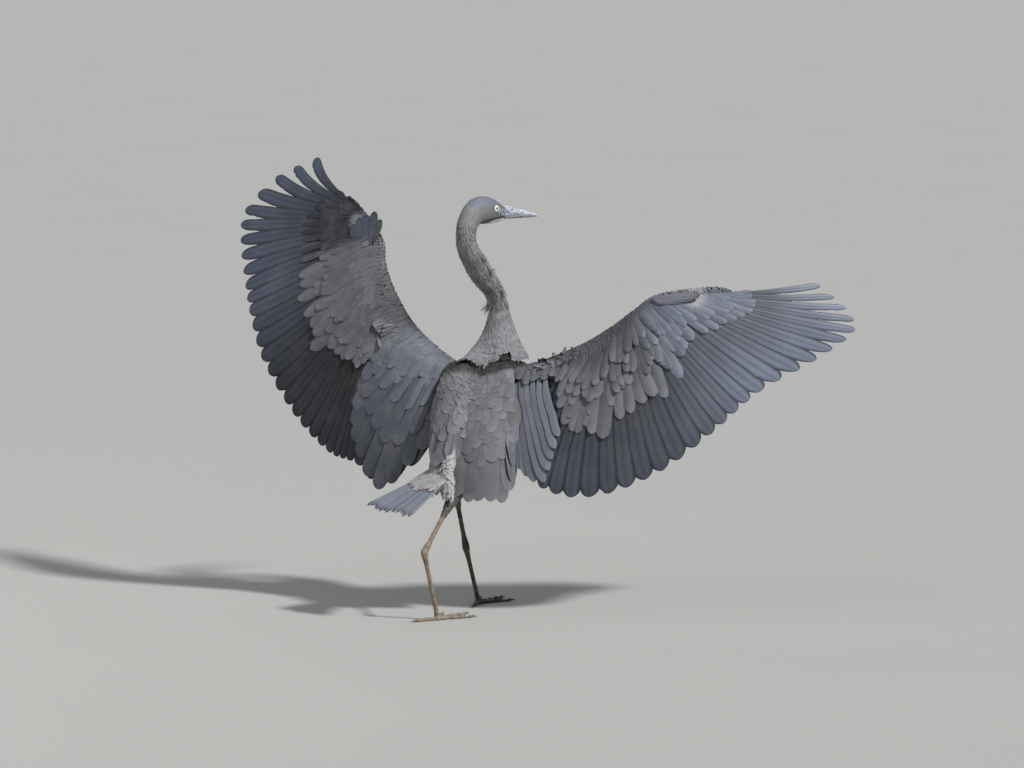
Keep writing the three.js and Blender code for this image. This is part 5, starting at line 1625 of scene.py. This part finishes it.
# Leg skin: net of small scales from cell edges, brownish pink with painted shade in the creases and dried
# mud.
def legMaterial(name, light, dark):
    material, n, inputs = newMaterial(name, 0.6, 0.4)
    place = n.place()
    cells = n.add("TexVoronoi", feature="DISTANCE_TO_EDGE")
    n.put(cells.inputs["Vector"], place)
    cells.inputs["Scale"].default_value = 420
    crease = n.between(cells.outputs["Distance"], 0.0, 0.16)
    patches = n.noise(place, 45.0, 4.0, 0.6)
    skin = n.blend(n.between(patches, 0.35, 0.7), light, dark)
    shaded = n.blend(crease, rgba([c * 0.55 for c in dark]), skin)
    mud = useGroup(n, dust, Colour=shaded, Powder=(150, 130, 108), Amount=0.4, Size=60.0)
    n.put(inputs["Base Color"], mud["Colour"])
    n.put(inputs["Roughness"], n.between(patches, 0.3, 0.7, 0.45, 0.75))
    addBump(n, inputs, crease, 0.6, 0.0005)
    return material


def hornMaterial():  # claws: dark horn with a brown grain
    material, n, inputs = newMaterial("horn", 0.4, 0.5)
    grain = n.noise(n.place(), 300.0, 3.0, 0.6)
    n.put(inputs["Base Color"], n.blend(grain, (42, 36, 33), (78, 68, 60)))
    n.put(inputs["Roughness"], n.between(grain, 0.3, 0.7, 0.3, 0.5))
    addBump(n, inputs, grain, 0.3, 0.0002)
    return material


horn = hornMaterial()
# the left leg's skin is the right leg's darkened by painted shade
legMaterials = {"right": legMaterial("legSkinNear", (150, 136, 120), (112, 97, 85)),
                "left": legMaterial("legSkinFar", (70, 62, 58), (46, 40, 37))}

# The bill's rows: share of the way to the tip, half width, height over the gape, depth under it
bill = {"base": (0, 196.5, 979.3), "tip": (0, 352, 962)}
billRows = [
    (0.0, 12.6, 18.2, 17.2), (0.15, 11.0, 16.2, 14.6), (0.35, 9.4, 13.6, 11.8), (0.6, 7.0, 10.0, 8.4),
    (0.82, 4.4, 6.0, 5.0), (0.95, 2.3, 2.8, 2.3), (1.0, 0.7, 0.9, 0.7)]


# Half a bill: a ring squarer than an ellipse over or under the gape, with a groove that runs
# forward from the nostril and fades by the middle.
def buildMandible(name, face, material):
    base, tip = np.array(bill["base"], float), np.array(bill["tip"], float)
    along = tip - base
    up = unit(np.array([0, -along[2], along[1]]))
    right = np.array([1.0, 0, 0])
    s = np.linspace(0, 1, 90)
    wide, over, under = keyed(billRows)(s).T[:, :, None]
    high = over if face > 0 else under
    angle = np.linspace(0, np.pi, 33)
    square = 0.86
    x = np.sign(np.cos(angle)) * np.abs(np.cos(angle)) ** square
    z = np.sin(angle) ** square
    groove = np.exp(-(((angle - 0.95) / 0.16) ** 2)) + np.exp(-(((np.pi - angle - 0.95) / 0.16) ** 2))
    depth = 1.1 * eased(0.02, 0.08, s) * eased(0.55, 0.3, s) + np.exp(-(((s - 0.15) / 0.045) ** 4))
    cut = 1 - (face > 0) * groove[None] * depth[:, None] / np.maximum(wide, 2) * 0.6
    reach = s * (1.0 if face > 0 else 0.975)
    middle = (base + along * reach[:, None] + up * (face * 0.18))[:, None]
    ring = moved(middle, (right, x * wide * cut), (up, face * z * high * cut))
    flat = np.linspace(1, -1, 12)[1:-1]  # the flat biting side, a little hollow
    floorRing = moved(middle, (right, -flat * wide), (up, face * 0.12 * (1 - flat ** 2) * wide / 6))
    half = makeMesh(name, *shell(np.concatenate([ring, floorRing], 1)))
    finishPiece(half, material, "bill", name.replace("Horn", ""))


# Horn with a streaky grain, dark specks that thin out forwards, pale scratches, a dark low edge where
# darkShare is given, and a pinkish root.
def billMaterial(name, base, darkShare, pink):
    material, n, inputs = newMaterial(name, 0.35, 0.5)
    place = n.place()
    parts = n.parts(place)
    backEnd, tipEnd = setInPlace(np.array(bill["base"]))[1], setInPlace(np.array(bill["tip"]))[1]
    lowEnd, highEnd = (setInPlace(np.array([0, 0, height]))[2] for height in (952.0, 972.0))
    forward = n.between(parts[1], backEnd, tipEnd, 0, 1, "LINEAR")
    grain = n.noise(place, 60.0, 6.0, 0.65, stretch=(1.4, 0.4, 1.4))
    specks = n.noise(place, 270.0, 5.0, 0.65, stretch=(1.0, 0.6, 1.0))
    scratches = n.between(n.noise(place, 360.0, 2.0, 0.5), 0.56, 0.66, 0.0, 0.8)
    speckled = n.times(n.between(specks, 0.5, 0.56), n.between(forward, 0.0, 0.9, 1.0, 0.5))
    low = n.times(n.between(parts[2], lowEnd, highEnd, darkShare, 0.0), n.between(forward, 0.15, 0.4))
    colour = n.blend(n.between(grain, 0.3, 0.7), base, rgba([c * 0.82 for c in base]))
    for share, tint in ((speckled, (40, 45, 56)), (scratches, (216, 221, 228)), (low, (48, 52, 60)),
                        (n.between(forward, 0.22, 0.04, 0.0, pink), (178, 160, 156))):
        colour = n.blend(share, colour, rgba(tint))
    n.put(inputs["Base Color"], colour)
    n.put(inputs["Roughness"], n.between(grain, 0.3, 0.7, 0.28, 0.5))
    addBump(n, inputs, n.plus(grain, n.times(specks, 0.4)), 0.35, 0.0005)
    return material


# The lores, from the bill to the eye, are a patch of the head's own surface, a little proud of the
# skin, with fine creases.
def buildLores():
    shells = []
    key = np.linspace(12.72, 14.47, 50)
    height = np.linspace(-1, 1, 25)[None]
    centre = np.interp(key, [12.7, 13.3, 14.47], [0.16, 0.02, -0.02])[:, None]
    spread = np.interp(key, [12.7, 13.3, 14.47], [0.10, 0.42, 0.62])[:, None]
    key = key[:, None]
    crease = 0.12 * np.sin(key * 22 + height * 5) + 0.1 * np.sin(key * 41 - height * 9)
    edge = 1 - np.maximum(np.abs(height), np.abs(np.linspace(-1, 1, 50))[:, None] ** 6)
    raised = -1.5 + 1.2 * np.clip(edge * 3, 0, 1) + crease * np.clip(edge * 4, 0, 1)
    for side in (1, -1):
        angle = centre + spread * height
        angle = angle if side > 0 else np.pi - angle
        points, normals = bodySurface(angle, key + 0 * angle)
        upper = points + normals * raised[..., None]
        lower = points - normals * 2.6
        shells.append(shell(np.concatenate([upper, lower[:, ::-1]], 1)))
    material, n, inputs = newMaterial("bareFace", 0.5, 0.4)
    place = n.place()
    grain = n.noise(place, 380.0, 4.0, 0.6)
    patches = n.noise(place, 70.0, 3.0, 0.5)
    colour = n.blend(patches, (128, 136, 150), (172, 180, 194))
    n.put(inputs["Base Color"], n.blend(n.between(grain, 0.46, 0.56), colour, (50, 54, 63)))
    addBump(n, inputs, grain, 0.4, 0.0003)
    finishPiece(makeMesh("lores", *joined(shells)), material, "bill")


# The eye is a ball whose colours follow the angle from its axis, and the lid a ring round that axis
# with a small oval section. polar is the angle from the axis and turn the angle round it.
def buildEye(name, side):
    centre = np.array([side * eye["x"], eye["y"], eye["z"]])
    axis = unit(np.array([side * 1.0, -0.14, 0.04]))
    ahead = unit(np.cross(axis, upright))
    top = np.cross(ahead, axis)

    def around(polar, radius, turn):
        return moved(
            centre, (axis, np.cos(polar) * radius + 0 * turn),
            (ahead, np.sin(polar) * radius * np.cos(turn)), (top, np.sin(polar) * radius * np.sin(turn)))
    polar = np.concatenate([np.linspace(0.02, 1.3, 44), np.linspace(1.36, np.pi - 0.05, 20)])[:, None]
    clear = 1 + 0.05 * np.exp(-(polar / 0.5) ** 2)  # the clear front stands out a little
    points, quads, tris = shell(around(polar, eye["radius"] * clear, np.linspace(0, 2 * np.pi, 41)[:-1]))
    away = unit(points - centre)
    opening = np.arccos(np.clip((away * axis).sum(-1), -1, 1))
    turned = np.arctan2((away * top).sum(-1), (away * ahead).sum(-1))
    gaze = np.stack([opening, turned, np.zeros(len(points))], 1)
    ball = makeMesh("eyeball_" + name, points, quads, tris, values={"gaze": gaze})
    finishPiece(ball, eyeGlow, "eye", "eye_" + name)
    section = np.linspace(0, 2 * np.pi, 17)[:-1]
    turn = np.linspace(0, 2 * np.pi, 73)[:-1, None]
    polar = 0.83 + 0.035 * np.cos(2 * turn) + 0.19 * np.sin(section)
    return torus(around(polar, eye["radius"] + 0.25 + 0.75 * np.cos(section), turn))


def torus(grid):  # a ring that closes both ways
    rows, columns = grid.shape[:2]
    index = np.arange(rows * columns).reshape(rows, columns)
    nextRow = np.roll(index, -1, 0)
    quads = np.stack([index, np.roll(index, -1, 1), np.roll(nextRow, -1, 1), nextRow], -1).reshape(-1, 4)
    return facedOut(grid.reshape(-1, 3), quads, np.zeros((0, 3), int))


# Pupil, iris with fine rays, and dark rim, by the angle from the axis; a clear coat over all.
def eyeMaterial():
    material, n, inputs = newMaterial("eyeGlow", 0.08, 0.6)
    opening, around = n.parts(n.value("gaze"))[:2]
    rays = n.noise(
        n.vector(n.times(n.math("SINE", around), 6.0), n.times(n.math("COSINE", around), 6.0), opening), 3.0,
        3.0, 0.6)
    iris = n.blend(n.between(rays, 0.35, 0.7), (236, 231, 188), (208, 199, 140))
    iris = n.blend(n.between(opening, 0.36, 0.5, 1.0, 0.0), iris, (168, 150, 84))
    colour = n.blend(n.between(opening, 0.33, 0.36), (6, 6, 7), iris)
    colour = n.blend(n.between(opening, 0.70, 0.78), colour, (24, 24, 26))
    n.put(inputs["Base Color"], colour)
    inputs["Coat Weight"].default_value = 1.0
    inputs["Coat Roughness"].default_value = 0.02
    return material


def lidMaterial():  # pale wrinkled skin
    material, n, inputs = newMaterial("lidSkin", 0.5, 0.4)
    grain = n.noise(n.place(), 900.0, 3.0, 0.6)
    n.put(inputs["Base Color"], n.blend(grain, (204, 206, 200), (236, 236, 224)))
    addBump(n, inputs, grain, 0.4, 0.0002)
    return material


eyeGlow = eyeMaterial()
fleshNodes = ["trunk", "neck_lower", "neck_middle", "neck_upper", "head"]
for part in ("upper_arm_", "forearm_", "hand_", "thigh_"):
    fleshNodes += [part + "left", part + "right"]
finishPiece(buildSkin(), skinMaterial(), "body_feathers", *fleshNodes)
buildBodyCoat()
buildNeckCoat("Low", 5.55, 8.4)
buildNeckCoat("High", 8.3, 10.75)
buildCowl()
buildHeadCoat()
for name in ("left", "right"):
    buildCoverts(name)
    buildFlight(name, "secondary_feathers", np.arange(0.0, 21.0), "secondaries_" + name)
    buildFlight(
        name, "primary_feathers", np.arange(21.0, 31.0),
        *["primary_%s_%d" % (name, i) for i in range(1, 11)])
    buildThumb(name)
    buildTertials(name)
    buildThigh(name)
    buildLeg(name)
buildMantle()
buildTail()
buildFluff()
buildMandible("bill_upperHorn", 1, billMaterial("billUpper", (188, 196, 208), 0.0, 0.0))
buildMandible("bill_lowerHorn", -1, billMaterial("billLower", (150, 157, 170), 0.9, 0.12))
buildLores()
lids = [buildEye(name, side) for name, side in (("left", -1), ("right", 1))]
finishPiece(makeMesh("eyelids", *joined(lids)), lidMaterial(), "bill")

studio = {"floor": (160, 159, 156), "air": (226, 229, 234), "airLight": 0.54, "sun": 4.2, "fill": 50}


# A pale floor, even light from all round, a broad key from the upper right and a soft fill.
def buildStudio():
    size = 100000
    corners = np.array([(-1, -1, 0), (1, -1, 0), (1, 1, 0), (-1, 1, 0)]) * size - hipsAt
    floor = makeMesh("floor", corners, np.array([[0, 1, 2, 3]]))
    material, n, inputs = newMaterial("paleFloor", 0.8, 0.2)
    cloud = n.noise(n.place(), 1.2, 3.0, 0.5)
    darker = tuple(c * 0.985 for c in studio["floor"])
    n.put(inputs["Base Color"], n.blend(cloud, studio["floor"], darker))
    floor.data.materials.append(material)
    world = bpy.data.worlds.new("studio")
    bpy.context.scene.world = world
    world.use_nodes = True
    back = world.node_tree.nodes["Background"]
    back.inputs[0].default_value = rgba(studio["air"])
    back.inputs[1].default_value = studio["airLight"]
    key = bpy.data.lights.new("keyLight", "SUN")
    key.energy, key.angle = studio["sun"], 0.1
    setUp("keyLight", key, (0, 0, 0), (-0.74, 0.05, -0.72))
    fill = bpy.data.lights.new("fillLight", "AREA")
    fill.energy, fill.size = studio["fill"], 3.0
    place = Vector((-2.6, -3.6, 2.0))
    setUp("fillLight", fill, place, Vector((0, 0, 0.6)) - place)
    print("studio set")


buildStudio()
bpy.context.scene.view_settings.view_transform = "Standard"
